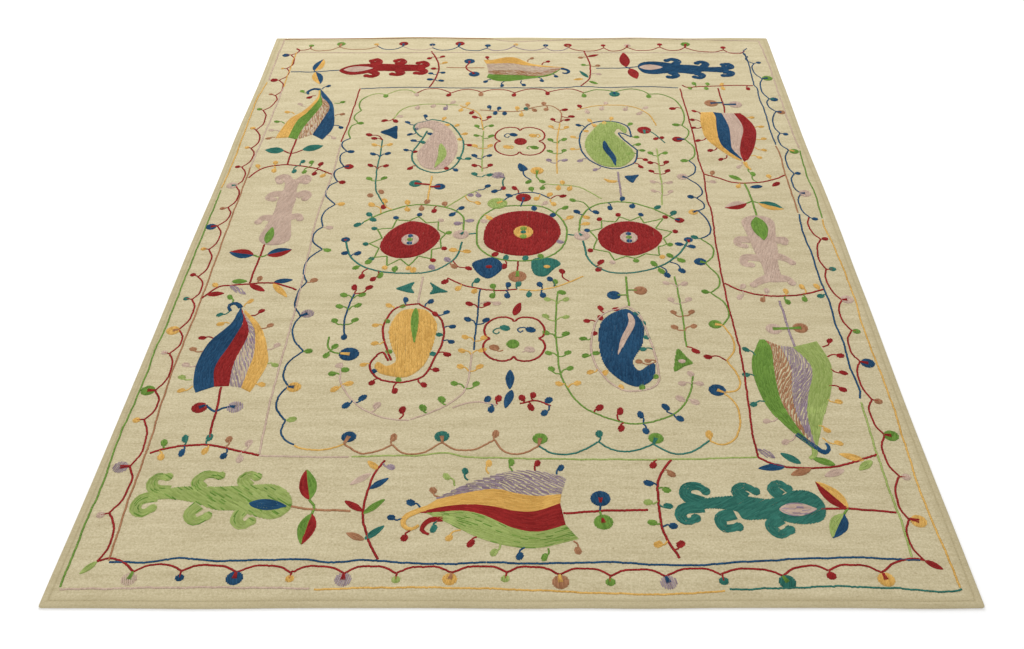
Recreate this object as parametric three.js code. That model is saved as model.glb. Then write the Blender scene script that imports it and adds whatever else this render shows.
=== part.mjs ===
// A flat-woven wool rug lying flat on the floor: one sheet of cloth with its four sides turned under.
// Millimetres. The origin is on the floor under the middle of the rug's box,
// +X runs to the right across the rug, +Y along it away from the viewer, +Z up.
import * as THREE from "three";

// Driving dimensions.
const rug = { width: 1750, length: 2190, cornerRadius: 9 };
const cloth = { thickness: 3.0, leastThickness: 2.2 };

// The turned side lies double. Distances are measured in from the rug's edge.
const hem = {
  foldReach: 1.5, // how far the rounded fold takes to reach the top
  foldHeight: 2.0, // height of the fold's outermost point
  profile: [
    { inward: 1.5, rise: 0.9 },
    { inward: 5.0, rise: 1.3 },
    { inward: 11.0, rise: 1.2 },
    { inward: 14.0, rise: 0.5 }, // the sewn groove
    { inward: 16.5, rise: 0.8 },
    { inward: 20.0, rise: 0.0 },
  ],
};

// How each side strays from a straight line between its corners: a swell `out` mm high,
// centred at `at` (-1 at the start of the side, 1 at its end) and `spread` wide.
const sideSwells = {
  left: [
    { at: -1.0, out: 3.6, spread: 0.16 },
    { at: -0.05, out: 2.6, spread: 0.2 },
    { at: 0.45, out: 3.6, spread: 0.17 },
    { at: 1.0, out: 3.8, spread: 0.17 },
  ],
  right: [
    { at: -0.58, out: -4.4, spread: 0.3 },
    { at: -0.14, out: -1.4, spread: 0.1 },
    { at: 0.42, out: -4.8, spread: 0.22 },
    { at: 0.76, out: -1.8, spread: 0.12 },
  ],
  near: [
    { at: -0.66, out: 1.8, spread: 0.14 },
    { at: 0.02, out: 1.6, spread: 0.12 },
    { at: 0.28, out: 1.6, spread: 0.1 },
    { at: 0.88, out: 1.9, spread: 0.12 },
  ],
  far: [
    { at: -0.43, out: 11.5, spread: 0.22 },
    { at: 0.02, out: 8.0, spread: 0.24 },
    { at: 0.46, out: 9.0, spread: 0.16 },
    { at: 0.88, out: 6.5, spread: 0.2 },
  ],
};

// Low swells and hollows of the cloth: middle, reach along X and Y, height and turn.
const ripples = [
  { x: -560, y: 985, alongX: 330, alongY: 48, high: 1.5, turn: 2 },
  { x: -470, y: 1052, alongX: 300, alongY: 36, high: -0.7, turn: -1 },
  { x: 130, y: 1040, alongX: 380, alongY: 40, high: 1.1, turn: 1 },
  { x: 560, y: 770, alongX: 260, alongY: 50, high: 0.9, turn: -3 },
  { x: 430, y: 560, alongX: 300, alongY: 52, high: 1.0, turn: 4 },
  { x: -80, y: 640, alongX: 340, alongY: 46, high: 0.8, turn: -2 },
  { x: -640, y: 330, alongX: 190, alongY: 44, high: 1.2, turn: 5 },
  { x: -700, y: 70, alongX: 170, alongY: 46, high: 1.0, turn: -4 },
  { x: 640, y: 190, alongX: 240, alongY: 42, high: 0.9, turn: 3 },
  { x: 20, y: 330, alongX: 300, alongY: 44, high: 0.8, turn: -3 },
  { x: -420, y: -230, alongX: 250, alongY: 60, high: 0.8, turn: -28 },
  { x: 330, y: -180, alongX: 320, alongY: 44, high: 0.9, turn: 2 },
  { x: 640, y: -330, alongX: 230, alongY: 46, high: 0.9, turn: -4 },
  { x: 90, y: -620, alongX: 360, alongY: 52, high: 0.7, turn: 3 },
  { x: -690, y: -640, alongX: 180, alongY: 50, high: 0.8, turn: 5 },
  { x: 520, y: -930, alongX: 330, alongY: 46, high: 0.8, turn: -2 },
];

// Cells of the top surface between the turned sides.
const cells = { across: 30, along: 50 };

const clamp = THREE.MathUtils.clamp;
const lerp = THREE.MathUtils.lerp;

// Sum of a side's swells at t, less the straight line between its two corners' own values.
function sideOut(swells, t) {
  const sum = (s) =>
    swells.reduce((all, w) => all + w.out * Math.exp(-(((s - w.at) / w.spread) ** 2)), 0);
  return sum(t) - lerp(sum(-1), sum(1), (t + 1) / 2);
}

// Where cloth that would lie at (x, y) on a true rectangle lies on the uneven rug.
function placeOnRug(x, y) {
  const u = x / (rug.width / 2);
  const v = y / (rug.length / 2);
  const leftX = -sideOut(sideSwells.left, v);
  const rightX = sideOut(sideSwells.right, v);
  const nearY = -sideOut(sideSwells.near, u);
  const farY = sideOut(sideSwells.far, u);
  const [cornerX, cornerY] = roundedCorner(x, y);
  return [cornerX + lerp(leftX, rightX, (u + 1) / 2), cornerY + lerp(nearY, farY, (v + 1) / 2)];
}

// Draws the last few millimetres of each corner in to a quarter circle.
function roundedCorner(x, y) {
  const r = rug.cornerRadius;
  const a = 1 - (rug.width / 2 - Math.abs(x)) / r;
  const b = 1 - (rug.length / 2 - Math.abs(y)) / r;
  if (a <= 0 || b <= 0) return [x, y];
  const pulledA = a * Math.sqrt(1 - (b * b) / 2);
  const pulledB = b * Math.sqrt(1 - (a * a) / 2);
  return [x + Math.sign(x) * r * (pulledA - a), y + Math.sign(y) * r * (pulledB - b)];
}

// Rise of the turned side at a distance in from the nearest edge.
function hemRise(inward) {
  const rows = hem.profile;
  if (inward <= rows[0].inward) return rows[0].rise;
  for (let i = 1; i < rows.length; i++) {
    const [from, to] = [rows[i - 1], rows[i]];
    if (inward <= to.inward) {
      return lerp(from.rise, to.rise, (inward - from.inward) / (to.inward - from.inward));
    }
  }
  return 0;
}

function rippleRise(x, y) {
  return ripples.reduce((all, r) => {
    const turn = THREE.MathUtils.degToRad(r.turn);
    const [dx, dy] = [x - r.x, y - r.y];
    const along = (dx * Math.cos(turn) + dy * Math.sin(turn)) / r.alongX;
    const across = (dy * Math.cos(turn) - dx * Math.sin(turn)) / r.alongY;
    return all + r.high * Math.exp(-(along * along) - across * across);
  }, 0);
}

function topHeight(x, y) {
  const inward = Math.min(rug.width / 2 - Math.abs(x), rug.length / 2 - Math.abs(y));
  if (inward <= 0) return hem.foldHeight;
  const height = cloth.thickness + hemRise(inward) + rippleRise(x, y);
  return Math.max(height, cloth.leastThickness);
}

// Grid lines across one direction: close together over the turned side, then even.
function gridLines(fullSize, innerCells) {
  const inwards = [0, ...hem.profile.map((row) => row.inward)];
  const half = fullSize / 2;
  const inner = half - inwards.at(-1);
  const lines = inwards.map((d) => d - half);
  for (let i = 1; i < innerCells; i++) lines.push(lerp(-inner, inner, i / innerCells));
  return [...lines, ...inwards.map((d) => half - d).reverse()];
}

function makeCloth() {
  const xs = gridLines(rug.width, cells.across);
  const ys = gridLines(rug.length, cells.along);
  const columns = xs.length;
  const rows = ys.length;
  const points = [];
  const faces = [];

  for (const y of ys) {
    for (const x of xs) points.push([...placeOnRug(x, y), topHeight(x, y)]);
  }
  const top = (i, j) => j * columns + i;
  for (let j = 0; j < rows - 1; j++) {
    for (let i = 0; i < columns - 1; i++) {
      faces.push([top(i, j), top(i + 1, j), top(i + 1, j + 1)]);
      faces.push([top(i, j), top(i + 1, j + 1), top(i, j + 1)]);
    }
  }

  // The grid's rim, counter-clockwise from the near left corner.
  const rim = [];
  for (let i = 0; i < columns - 1; i++) rim.push([i, 0]);
  for (let j = 0; j < rows - 1; j++) rim.push([columns - 1, j]);
  for (let i = columns - 1; i > 0; i--) rim.push([i, rows - 1]);
  for (let j = rows - 1; j > 0; j--) rim.push([0, j]);

  // The underside's outline lies on the floor, just inside the fold.
  const reachX = rug.width / 2 - hem.foldReach * 0.8;
  const reachY = rug.length / 2 - hem.foldReach * 0.8;
  const floorStart = points.length;
  const outline = rim.map(([i, j]) => {
    const [x, y] = placeOnRug(clamp(xs[i], -reachX, reachX), clamp(ys[j], -reachY, reachY));
    points.push([x, y, 0]);
    return new THREE.Vector2(x, y);
  });
  rim.forEach(([i, j], k) => {
    const next = (k + 1) % rim.length;
    const [here, there] = [top(i, j), top(...rim[next])];
    faces.push([floorStart + k, floorStart + next, there]);
    faces.push([floorStart + k, there, here]);
  });
  for (const [a, b, c] of THREE.ShapeUtils.triangulateShape(outline, [])) {
    faces.push([floorStart + c, floorStart + b, floorStart + a]);
  }

  const geometry = new THREE.BufferGeometry();
  geometry.setAttribute("position", new THREE.Float32BufferAttribute(points.flat(), 3));
  geometry.setIndex(faces.flat());
  geometry.computeBoundingBox();
  const middle = geometry.boundingBox.getCenter(new THREE.Vector3());
  geometry.translate(-middle.x, -middle.y, 0);
  geometry.computeVertexNormals();

  const undyedWool = new THREE.MeshStandardMaterial({
    color: 0xcabe9b,
    roughness: 0.95,
    metalness: 0,
  });
  const mesh = new THREE.Mesh(geometry, undyedWool);
  mesh.name = "rug_cloth";
  return mesh;
}

const embroideredRug = new THREE.Group();
embroideredRug.add(makeCloth());

export default embroideredRug;
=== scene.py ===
import math

import bpy
import numpy as np
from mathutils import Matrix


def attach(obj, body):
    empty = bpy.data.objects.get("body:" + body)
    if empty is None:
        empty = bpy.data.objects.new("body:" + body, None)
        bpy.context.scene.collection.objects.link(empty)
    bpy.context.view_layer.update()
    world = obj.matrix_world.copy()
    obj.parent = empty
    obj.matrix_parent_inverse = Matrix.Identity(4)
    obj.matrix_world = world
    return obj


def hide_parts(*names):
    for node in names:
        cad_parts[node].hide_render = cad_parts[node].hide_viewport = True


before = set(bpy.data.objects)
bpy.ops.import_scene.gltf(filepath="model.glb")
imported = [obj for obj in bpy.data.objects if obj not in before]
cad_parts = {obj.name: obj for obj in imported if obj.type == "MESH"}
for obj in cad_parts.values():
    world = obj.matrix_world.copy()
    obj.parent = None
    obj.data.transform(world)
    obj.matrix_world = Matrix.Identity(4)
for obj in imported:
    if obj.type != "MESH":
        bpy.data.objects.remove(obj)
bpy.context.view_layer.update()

MM = 0.001
chance = np.random.default_rng(41)

# The cloth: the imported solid's driving sizes, with a tighter corner.
HALF_WIDTH = 875.0
HALF_LENGTH = 1095.0
CORNER_RADIUS = 5.0
THICKNESS = 3.0
LEAST_THICKNESS = 2.2
FOLD_HEIGHT = 2.0
HEM_INWARD = [1.5, 5.0, 11.0, 14.0, 16.5, 20.0]
HEM_RISE = [0.9, 1.3, 1.2, 0.5, 0.8, 0.0]
SEWN_GROOVE = 14.0
TURNED_UNDER = 19.0
TURN_STEP = 0.5  # half the width of the step where the turned side ends
BACK_RECESS = 0.7  # how much higher the single cloth's back lies than the turned side's
BACK_SHARE = 0.7  # how much of the face's swells the back follows
BACK_UNEVEN = 0.5
WAVE_RISE = 0.16
DIMPLE_RISE = 0.14
EVEN_RIM = 60.0  # the unevenness grows from none at the edge to full this far in

# How each side strays from straight: (place along the side, outward, spread).
SWELLS = {
    "left": [(-1.0, 3.6, 0.16), (-0.05, 2.6, 0.2), (0.45, 3.6, 0.17), (1.0, 3.8, 0.17)],
    "right": [(-0.58, -4.4, 0.3), (-0.14, -1.4, 0.1), (0.42, -4.8, 0.22), (0.76, -1.8, 0.12)],
    "near": [(-0.66, 1.8, 0.14), (0.02, 1.6, 0.12), (0.28, 1.6, 0.1), (0.88, 1.9, 0.12)],
    "far": [(-0.43, 11.5, 0.22), (0.02, 8.0, 0.24), (0.46, 9.0, 0.16), (0.88, 6.5, 0.2)],
}

# Low swells of the cloth: (x, y, reach along x, reach along y, height, turn in degrees).
RIPPLES = [
    (-560, 985, 330, 48, 1.5, 2),
    (-470, 1052, 300, 36, -0.7, -1),
    (130, 1040, 380, 40, 1.1, 1),
    (560, 770, 260, 50, 0.9, -3),
    (430, 560, 300, 52, 1.0, 4),
    (-80, 640, 340, 46, 0.8, -2),
    (-640, 330, 190, 44, 1.2, 5),
    (-700, 70, 170, 46, 1.0, -4),
    (640, 190, 240, 42, 0.9, 3),
    (20, 330, 300, 44, 0.8, -3),
    (-420, -230, 250, 60, 0.8, -28),
    (330, -180, 320, 44, 0.9, 2),
    (640, -330, 230, 46, 0.9, -4),
    (90, -620, 360, 52, 0.7, 3),
    (-690, -640, 180, 50, 0.8, 5),
    (520, -930, 330, 46, 0.8, -2),
]


def side_out(side, t):
    """How far a side lies outside the straight line between its corners, t from -1 to 1."""

    def total(s):
        return sum(out * np.exp(-(((s - at) / spread) ** 2)) for at, out, spread in SWELLS[side])

    return total(t) - (total(-1.0) + (total(1.0) - total(-1.0)) * (t + 1) / 2)


def stray(x, y):
    """The shift of cloth that would lie at (x, y) on a true rectangle."""
    u, v = x / HALF_WIDTH, y / HALF_LENGTH
    left, right = -side_out("left", v), side_out("right", v)
    near, far = -side_out("near", u), side_out("far", u)
    return left + (right - left) * (u + 1) / 2, near + (far - near) * (v + 1) / 2


def rounded_corner(x, y):
    """Draws the last few millimetres of each corner in to a quarter circle."""
    a = np.clip(1 - (HALF_WIDTH - np.abs(x)) / CORNER_RADIUS, 0, 1)
    b = np.clip(1 - (HALF_LENGTH - np.abs(y)) / CORNER_RADIUS, 0, 1)
    pull_x = CORNER_RADIUS * a * (np.sqrt(1 - b * b / 2) - 1)
    pull_y = CORNER_RADIUS * b * (np.sqrt(1 - a * a / 2) - 1)
    return x + np.sign(x) * pull_x, y + np.sign(y) * pull_y


def box_middle():
    """The middle of the uneven outline's box, which is the part's origin."""
    t = np.linspace(-1, 1, 401)
    right, left = side_out("right", t).max(), side_out("left", t).max()
    near, far = side_out("near", t).max(), side_out("far", t).max()
    return np.array([(right - left) / 2, (far - near) / 2])


MIDDLE = box_middle()


def ripple_rise(x, y):
    rise = 0.0
    for at_x, at_y, along_x, along_y, high, turn in RIPPLES:
        c, s = math.cos(math.radians(turn)), math.sin(math.radians(turn))
        along = ((x - at_x) * c + (y - at_y) * s) / along_x
        across = ((y - at_y) * c - (x - at_x) * s) / along_y
        rise = rise + high * np.exp(-along * along - across * across)
    return rise


def hand_rise(x, y):
    """The slight unevenness of hand-woven cloth, mostly low waves across the rug."""
    swing = 0.6 + 0.4 * np.sin(x / 140 + y / 210)
    waves = np.sin(y / 15 + 1.7 * np.sin(x / 190) + x / 420) * swing
    dimples = np.sin(x / 61 + 1.3 * np.sin(y / 83)) * np.sin(y / 47 + x / 350)
    return WAVE_RISE * waves + DIMPLE_RISE * dimples


def inward_of(x, y):
    return np.minimum(HALF_WIDTH - np.abs(x), HALF_LENGTH - np.abs(y))


def top_height(x, y):
    """Height of the cloth's face over a point of the true rectangle."""
    inward = inward_of(x, y)
    hem = np.interp(inward, HEM_INWARD, HEM_RISE)
    rise = ripple_rise(x, y) + hand_rise(x, y) * np.clip(inward / EVEN_RIM, 0, 1)
    height = np.maximum(THICKNESS + hem + rise, LEAST_THICKNESS)
    return np.where(inward <= 0, FOLD_HEIGHT, height)


def back_height(x, y):
    """Height of the cloth's back, which the turned side holds just off the floor."""
    inward = inward_of(x, y)
    lifted = np.interp(inward, [TURNED_UNDER - TURN_STEP, TURNED_UNDER + TURN_STEP], [0.0, 1.0])
    rise = np.maximum(ripple_rise(x, y) + hand_rise(x, y) * BACK_UNEVEN, 0.0)
    return lifted * (BACK_RECESS + BACK_SHARE * rise)


def face_height(x, y):
    """Height of the cloth's face at a point of the lying rug."""
    flat_x, flat_y = x, y
    for _ in range(2):
        shift_x, shift_y = stray(flat_x, flat_y)
        flat_x, flat_y = x - shift_x, y - shift_y
    return top_height(flat_x, flat_y)


# Paths and outlines.
LINE_STEPS = 12
CURVE_STEPS = 8
RING_STEPS = 6
LEAST_STEP = 1e-6
TINY = 1e-9  # keeps a division safe where two points meet


def spots(text):
    """Points written as "x,y x,y ..."."""
    if not isinstance(text, str):
        return np.asarray(text, float)
    return np.array([[float(v) for v in pair.split(",")] for pair in text.split()])


def smooth(path, closed=False, samples=CURVE_STEPS):
    """A soft curve through the points, with even steps between them."""
    p = spots(path)
    if len(p) < 3:
        return p[0] + (p[-1] - p[0]) * np.linspace(0, 1, LINE_STEPS)[:, None]
    if closed:
        p = np.vstack([p[-1:], p, p[:2]])
    else:
        p = np.vstack([2 * p[0] - p[1], p, 2 * p[-1] - p[-2]])
    steps = np.linalg.norm(np.diff(p, axis=0), axis=1) + LEAST_STEP
    knots = np.concatenate([[0], np.cumsum(np.sqrt(steps))])
    pieces = []
    for i in range(1, len(p) - 2):
        t0, t1, t2, t3 = knots[i - 1 : i + 3]
        t = np.linspace(t1, t2, samples, endpoint=False)[:, None]
        a1 = (t1 - t) / (t1 - t0) * p[i - 1] + (t - t0) / (t1 - t0) * p[i]
        a2 = (t2 - t) / (t2 - t1) * p[i] + (t - t1) / (t2 - t1) * p[i + 1]
        a3 = (t3 - t) / (t3 - t2) * p[i + 1] + (t - t2) / (t3 - t2) * p[i + 2]
        b1 = (t2 - t) / (t2 - t0) * a1 + (t - t0) / (t2 - t0) * a2
        b2 = (t3 - t) / (t3 - t1) * a2 + (t - t1) / (t3 - t1) * a3
        pieces.append((t2 - t) / (t2 - t1) * b1 + (t - t1) / (t2 - t1) * b2)
    curve = np.vstack(pieces)
    return np.vstack([curve, curve[:1] if closed else p[-2:-1]])


def measured(curve):
    """The distance along a curve to each of its points."""
    return np.concatenate([[0], np.cumsum(np.linalg.norm(np.diff(curve, axis=0), axis=1))])


def at(curve, run, distance):
    """The points of a curve at the given distances along it."""
    distance = np.asarray(distance, float)
    return np.stack([np.interp(distance, run, curve[:, k]) for k in (0, 1)], axis=-1)


def across_of(curve):
    """Unit vectors to the left of a curve's direction."""
    ahead = np.gradient(curve, axis=0)
    ahead /= np.linalg.norm(ahead, axis=1, keepdims=True) + TINY
    return np.stack([-ahead[:, 1], ahead[:, 0]], axis=1)


# The wool. Each colour's letter, name and slot in the record, darker and lighter tint.
WOOLS = {
    "R": ("red", "red_wool_yarn", (0.230, 0.013, 0.013), (0.395, 0.030, 0.028)),
    "B": ("blue", "blue_wool_yarn", (0.010, 0.046, 0.106), (0.027, 0.104, 0.208)),
    "T": ("teal", "teal_wool_yarn", (0.022, 0.125, 0.098), (0.054, 0.232, 0.178)),
    "G": ("green", "green_wool_yarn", (0.108, 0.228, 0.034), (0.215, 0.375, 0.068)),
    "L": ("light_green", "light_green_wool_yarn", (0.280, 0.375, 0.090), (0.450, 0.540, 0.180)),
    "Y": ("gold", "gold_wool_yarn", (0.620, 0.345, 0.078), (0.860, 0.530, 0.150)),
    "M": ("mauve", "mauve_wool_yarn", (0.520, 0.370, 0.290), (0.700, 0.530, 0.420)),
    "N": ("brown", "brown_wool_yarn", (0.340, 0.150, 0.070), (0.500, 0.250, 0.130)),
    "V": ("lilac", "lilac_wool_yarn", (0.240, 0.165, 0.215), (0.440, 0.345, 0.390)),
}
chains = {letter: [] for letter in WOOLS}
fillings = {letter: [] for letter in WOOLS}

CHAIN_PITCH = 5.0
CHAIN_WIDTH = 6.2
THIN_CHAIN = 5.2
EDGE_CHAIN = 4.8
STEM_WIDTH = 4.6
STEM_END = 11.0
LONGEST_STEM = 46.0
FARTHEST_BUD = 60.0
CHAIN_OVERLAP = 0.22  # how much of its pitch a chain stitch runs on at each end
CHAIN_SLIP = 0.28
CHAIN_WAVER = [(0.55, 19.0), (0.35, 8.0)]  # a line's slow wavering: how far and how long
YARN_PITCH = 2.6
LOOSE_PITCH = 1.5  # how much wider apart loose yarn lies
OVER = 0.8  # how much higher yarn lies that is worked over other yarn


def sew(bag, colour, start, middle, end, width, lift):
    """Adds stitches: rows of start, middle and end point, width and lift."""
    start, middle, end = (np.atleast_2d(p) for p in (start, middle, end))
    extra = np.full((len(start), 2), (width, lift), float)
    bag[colour].append(np.hstack([start, middle, end, extra]))


worked_lines = []


def chain(colour, path, closed=False, width=CHAIN_WIDTH, lift=0.0, carries=True):
    """A line of chain stitch along a path. Buds may hang from a line that carries them."""
    curve = smooth(path, closed)
    run = measured(curve)
    if carries:
        worked_lines.append(curve)
    count = max(1, round(run[-1] / CHAIN_PITCH))
    starts = np.arange(count) * run[-1] / count
    pitch = run[-1] / count
    side = at(across_of(curve), run, starts + pitch / 2)
    swing = sum(far * np.sin(starts / long + chance.uniform(0, 6)) for far, long in CHAIN_WAVER)
    wobble = side * (swing + chance.normal(0, CHAIN_SLIP, count))[:, None]
    over = pitch * CHAIN_OVERLAP
    thick = width * (0.92 + 0.1 * chance.random())
    sew(
        chains,
        colour,
        at(curve, run, starts - over) + wobble,
        at(curve, run, starts + pitch / 2) + wobble,
        at(curve, run, starts + pitch + over) + wobble,
        thick,
        lift,
    )


def pick(colours):
    """One of the letters by chance, so a letter written twice comes up more often."""
    return colours[chance.integers(len(colours))]


def pitch_of(loose):
    return YARN_PITCH * (LOOSE_PITCH if loose else 1.0)


ROW_SLIP = 0.12
SHORTEST_ROW = 1.5
LOOSE_FILL = 0.65  # how thin loose yarn is in a filled outline
LOOSE_BAND = 0.7  # and in a band


def fill(colours, outline, lean=90.0, lift=0.0):
    """Fills an outline with laid yarn. lean is the strokes' direction in degrees, and small
    letters ask for loose yarn, wider apart and thinner."""
    loose = colours.islower()
    ring = smooth(outline, True, RING_STEPS)
    c, s = math.cos(math.radians(lean)), math.sin(math.radians(lean))
    turn = np.array([[c, -s], [s, c]])
    local = ring @ turn
    x0, y0, x1, y1 = local[:-1, 0], local[:-1, 1], local[1:, 0], local[1:, 1]
    low, high = local[:, 1].min(), local[:, 1].max()
    rows = max(1, round((high - low) / pitch_of(loose)))
    pitch = (high - low) / rows
    thick = pitch * (LOOSE_FILL if loose else 1.0)
    for k in range(rows):
        row = low + (k + 0.5) * pitch + chance.normal(0, ROW_SLIP)
        hit = (y0 <= row) != (y1 <= row)
        cuts = np.sort(x0[hit] + (row - y0[hit]) * (x1[hit] - x0[hit]) / (y1[hit] - y0[hit]))

        def place(along, row=row):
            return np.stack([along, row + 0 * along], -1) @ turn.T

        for a, b in zip(cuts[::2], cuts[1::2]):
            if b - a > SHORTEST_ROW:
                lay(colours.upper(), a, b, place, thick, lift)


STROKE = (11, 21)  # how long a stroke may be
SHORT_REST = 6  # a rest shorter than this joins the last stroke
STROKE_SLIP = 0.15
STROKE_WIDTH = (1.15, 1.35)  # how wide a stroke may be, against the rows' pitch
TUCK = 2.2  # how far strokes in a row lie over each other
END = 0.6
UNEVEN = 0.35


def next_end(here, end):
    """Where the stroke that starts here ends, in a row that ends at end."""
    reach = chance.uniform(*STROKE)
    return end if end - here - reach < SHORT_REST else here + reach


def stroke_ends(here, there, first, last):
    """A stroke's start, middle and end along its row."""
    start = here - (END if first else TUCK)
    end = there + (END if last else TUCK)
    return np.array([start, (here + there) / 2, end])


def lay(colours, a, b, place, pitch, lift):
    """Lays yarn strokes end to end from a to b along a row; place gives the row's points."""
    here = a
    while here < b - 0.5:
        there = next_end(here, b)
        ends = stroke_ends(here, there, here == a, there == b)
        p = place(ends) + chance.normal(0, STROKE_SLIP, (3, 2))
        width = pitch * chance.uniform(*STROKE_WIDTH)
        sew(fillings, pick(colours), *p, width, lift + chance.uniform(0, UNEVEN))
        here = there


BAND_STEPS = 60
CROWDED = 0.62  # rows closer than this share of their pitch are thinned out
FEW_ROWS = 4
NARROWEST = 1.2
BAND_SLANT = 0.45
BAND_STROKE = 1.25
BAND_WIDTHS = (1.8, 3.6)


def band(colours, edge_a, edge_b, lift=0.0):
    """Yarn laid along the space between two edges, both listed in the same direction.
    Small letters ask for loose yarn: wider apart, thinner and slanted."""
    loose = colours.islower()
    spacing = pitch_of(loose)
    a, b = smooth(edge_a), smooth(edge_b)
    along = np.linspace(0, 1, BAND_STEPS)
    last = BAND_STEPS - 1
    run_a, run_b = measured(a), measured(b)
    side_a, side_b = at(a, run_a, along * run_a[-1]), at(b, run_b, along * run_b[-1])
    wide = np.linalg.norm(side_a - side_b, axis=1)
    rows = max(1, round(wide.max() / spacing))
    step = wide / rows
    every = np.where(step > CROWDED * spacing, 1, np.where(step > CROWDED / 2 * spacing, 2, 4))
    length = (run_a[-1] + run_b[-1]) / 2
    for k in range(rows):
        kept = (k % every) == every // 2 if rows > FEW_ROWS else np.ones(BAND_STEPS, bool)
        here = 0.0
        while here < length - 2:
            there = next_end(here, length)
            i = min(last, int((here + there) / 2 / length * last))
            reached = kept[int(here / length * last) : int(there / length * last) + 1]
            if reached.any() and wide[i] > NARROWEST:
                ends = stroke_ends(here, there, here == 0.0, there == length) / length
                slant = (there - here) * BAND_SLANT / max(wide[i], 8.0) if loose else 0.0
                share = np.clip((k + 0.5) / rows + slant * np.array([-0.5, 0.0, 0.5]), 0, 1)[:, None]
                p = at(side_a, along, ends) * (1 - share) + at(side_b, along, ends) * share
                p = p + chance.normal(0, STROKE_SLIP, (3, 2))
                thick = LOOSE_BAND if loose else BAND_STROKE
                width = np.clip(step[i] * every[i] * thick, *BAND_WIDTHS)
                high = lift + chance.uniform(0, UNEVEN)
                sew(fillings, pick(colours.upper()), *p, width, high)
            here = there


def ribbon(colours, path, wide, tip=None, lift=0.0):
    """A curved strip of laid yarn, easing from wide to tip or, with no tip, pointed at both ends."""
    curve = smooth(path)
    side = across_of(curve)
    t = np.linspace(0, 1, len(curve))[:, None]
    if tip is None:
        half = wide / 2 * np.sin(np.pi * t**0.8) ** 0.8
    else:
        half = (wide + (tip - wide) * t**1.6) / 2
    band(colours, curve + side * half, curve - side * half, lift)


SPINE_OVERLAP = 0.6  # how far each half of a leaf reaches over its spine


def leaf(colours, base, tip, wide, lift=0.0):
    """A pointed leaf. Of two colours parted by a bar, as in "R|G", the first fills the half
    on the left of the rug or, on a leaf that lies across it, the farther half."""
    base, tip = np.array(base, float), np.array(tip, float)
    axis = tip - base
    left = np.array([-axis[1], axis[0]]) / np.linalg.norm(axis)
    t = np.linspace(0, 1, 9)[:, None]
    swell = wide / 2 * np.sin(np.pi * t**0.85) ** 0.8
    spine = base + axis * t
    sides = colours.split("|")
    points_away = abs(left[0]) > abs(left[1])
    second_comes_first = left[0] > 0 if points_away else left[1] < 0
    if second_comes_first:
        sides = sides[::-1]
    band(sides[0], spine + left * swell, spine - left * SPINE_OVERLAP, lift)
    band(sides[-1], spine + left * SPINE_OVERLAP, spine - left * swell, lift)


def disc(colours, x, y, rx, ry=None, lean=90.0, lift=0.0):
    """A round of laid yarn."""
    ry = ry or rx
    turn = np.linspace(0, 2 * np.pi, 14, endpoint=False)
    ring = np.stack([x + rx * np.cos(turn), y + ry * np.sin(turn)], 1)
    fill(colours, ring, lean, lift)


def oval(colours, x, y, long, wide, lean):
    """A small round of yarn laid along its own length."""
    turn = np.linspace(0, 2 * np.pi, 12, endpoint=False)
    c, s = math.cos(math.radians(lean)), math.sin(math.radians(lean))
    u, v = long * np.cos(turn), wide * np.sin(turn)
    fill(colours, np.stack([x + u * c - v * s, y + u * s + v * c], 1), lean)


FLOWER = 15.0
FLOWER_WIDE = 1.06
FLOWER_DEEP = 0.96
FLOWER_LEANS = [75, 90, 105]
NEAREST_STEM = 0.4  # a flower closer to its line than this share of its size has a stem of its own
HEART_START = 0.55
HEART_PAST = 1.08  # how far the heart runs on through the flower's middle


def bloom(colours, heart, x, y, r, foot=None, stem=None):
    """A small round flower. The heart's yarn is also its stem, unless stem names another wool:
    then a line of that wool leads to the heart."""
    disc(colours, x, y, r * FLOWER_WIDE, r * FLOWER_DEEP, chance.choice(FLOWER_LEANS))
    head = np.array([x, y], float)
    foot = nearest_on_lines(head) if foot is None else np.asarray(foot, float)
    gap = np.linalg.norm(head - foot)
    if not NEAREST_STEM * r < gap < LONGEST_STEM:
        foot = head - (0, r)
    start = foot
    if stem:
        start = head + (foot - head) * HEART_START * r / gap
        chain(stem, [foot, start], width=STEM_WIDTH, lift=OVER, carries=False)
    ribbon(heart, [start, foot + (head - foot) * HEART_PAST], STEM_WIDTH, STEM_END, lift=OVER)


def rows_of(text):
    """The words of each row, where semicolons and line ends part the rows."""
    return [row.split() for row in text.replace("\n", ";").split(";") if row.strip()]


def nearest_on_lines(point):
    """The closest point of any worked line that carries buds."""
    closest = [line[np.argmin(np.linalg.norm(line - point, axis=1))] for line in worked_lines]
    return min(closest, key=lambda p: np.linalg.norm(p - point))


NEAREST_BUD = 0.6  # a bud closer to its line than this share of its size has no stem
BUD_BOW = 0.2
BUD_LONG = (1.1, 1.35)
BUD_WIDE = (0.78, 0.92)


def bud(colour, x, y, r, foot=None):
    """A round bud on a short curved stem of its own colour."""
    head = np.array([x, y])
    if foot is None:
        foot = nearest_on_lines(head)
    gap = np.linalg.norm(head - foot)
    if r * NEAREST_BUD < gap < FARTHEST_BUD:
        side = np.array([-(head - foot)[1], (head - foot)[0]]) * chance.choice([-BUD_BOW, BUD_BOW])
        chain(colour, [foot, (foot + head) / 2 + side, head], width=STEM_WIDTH, carries=False)
    lean = math.degrees(math.atan2(*(head - foot)[::-1])) if gap > 1 else 90.0
    oval(colour, x, y, r * chance.uniform(*BUD_LONG), r * chance.uniform(*BUD_WIDE), lean)


def buds(text, r):
    """Buds written "colour x,y" or "colour x,y foot_x,foot_y", parted by semicolons."""
    for colour, place, *foot in rows_of(text):
        x, y = spots(place)[0]
        bud(colour, x, y, r, spots(foot[0])[0] if foot else None)


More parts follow.
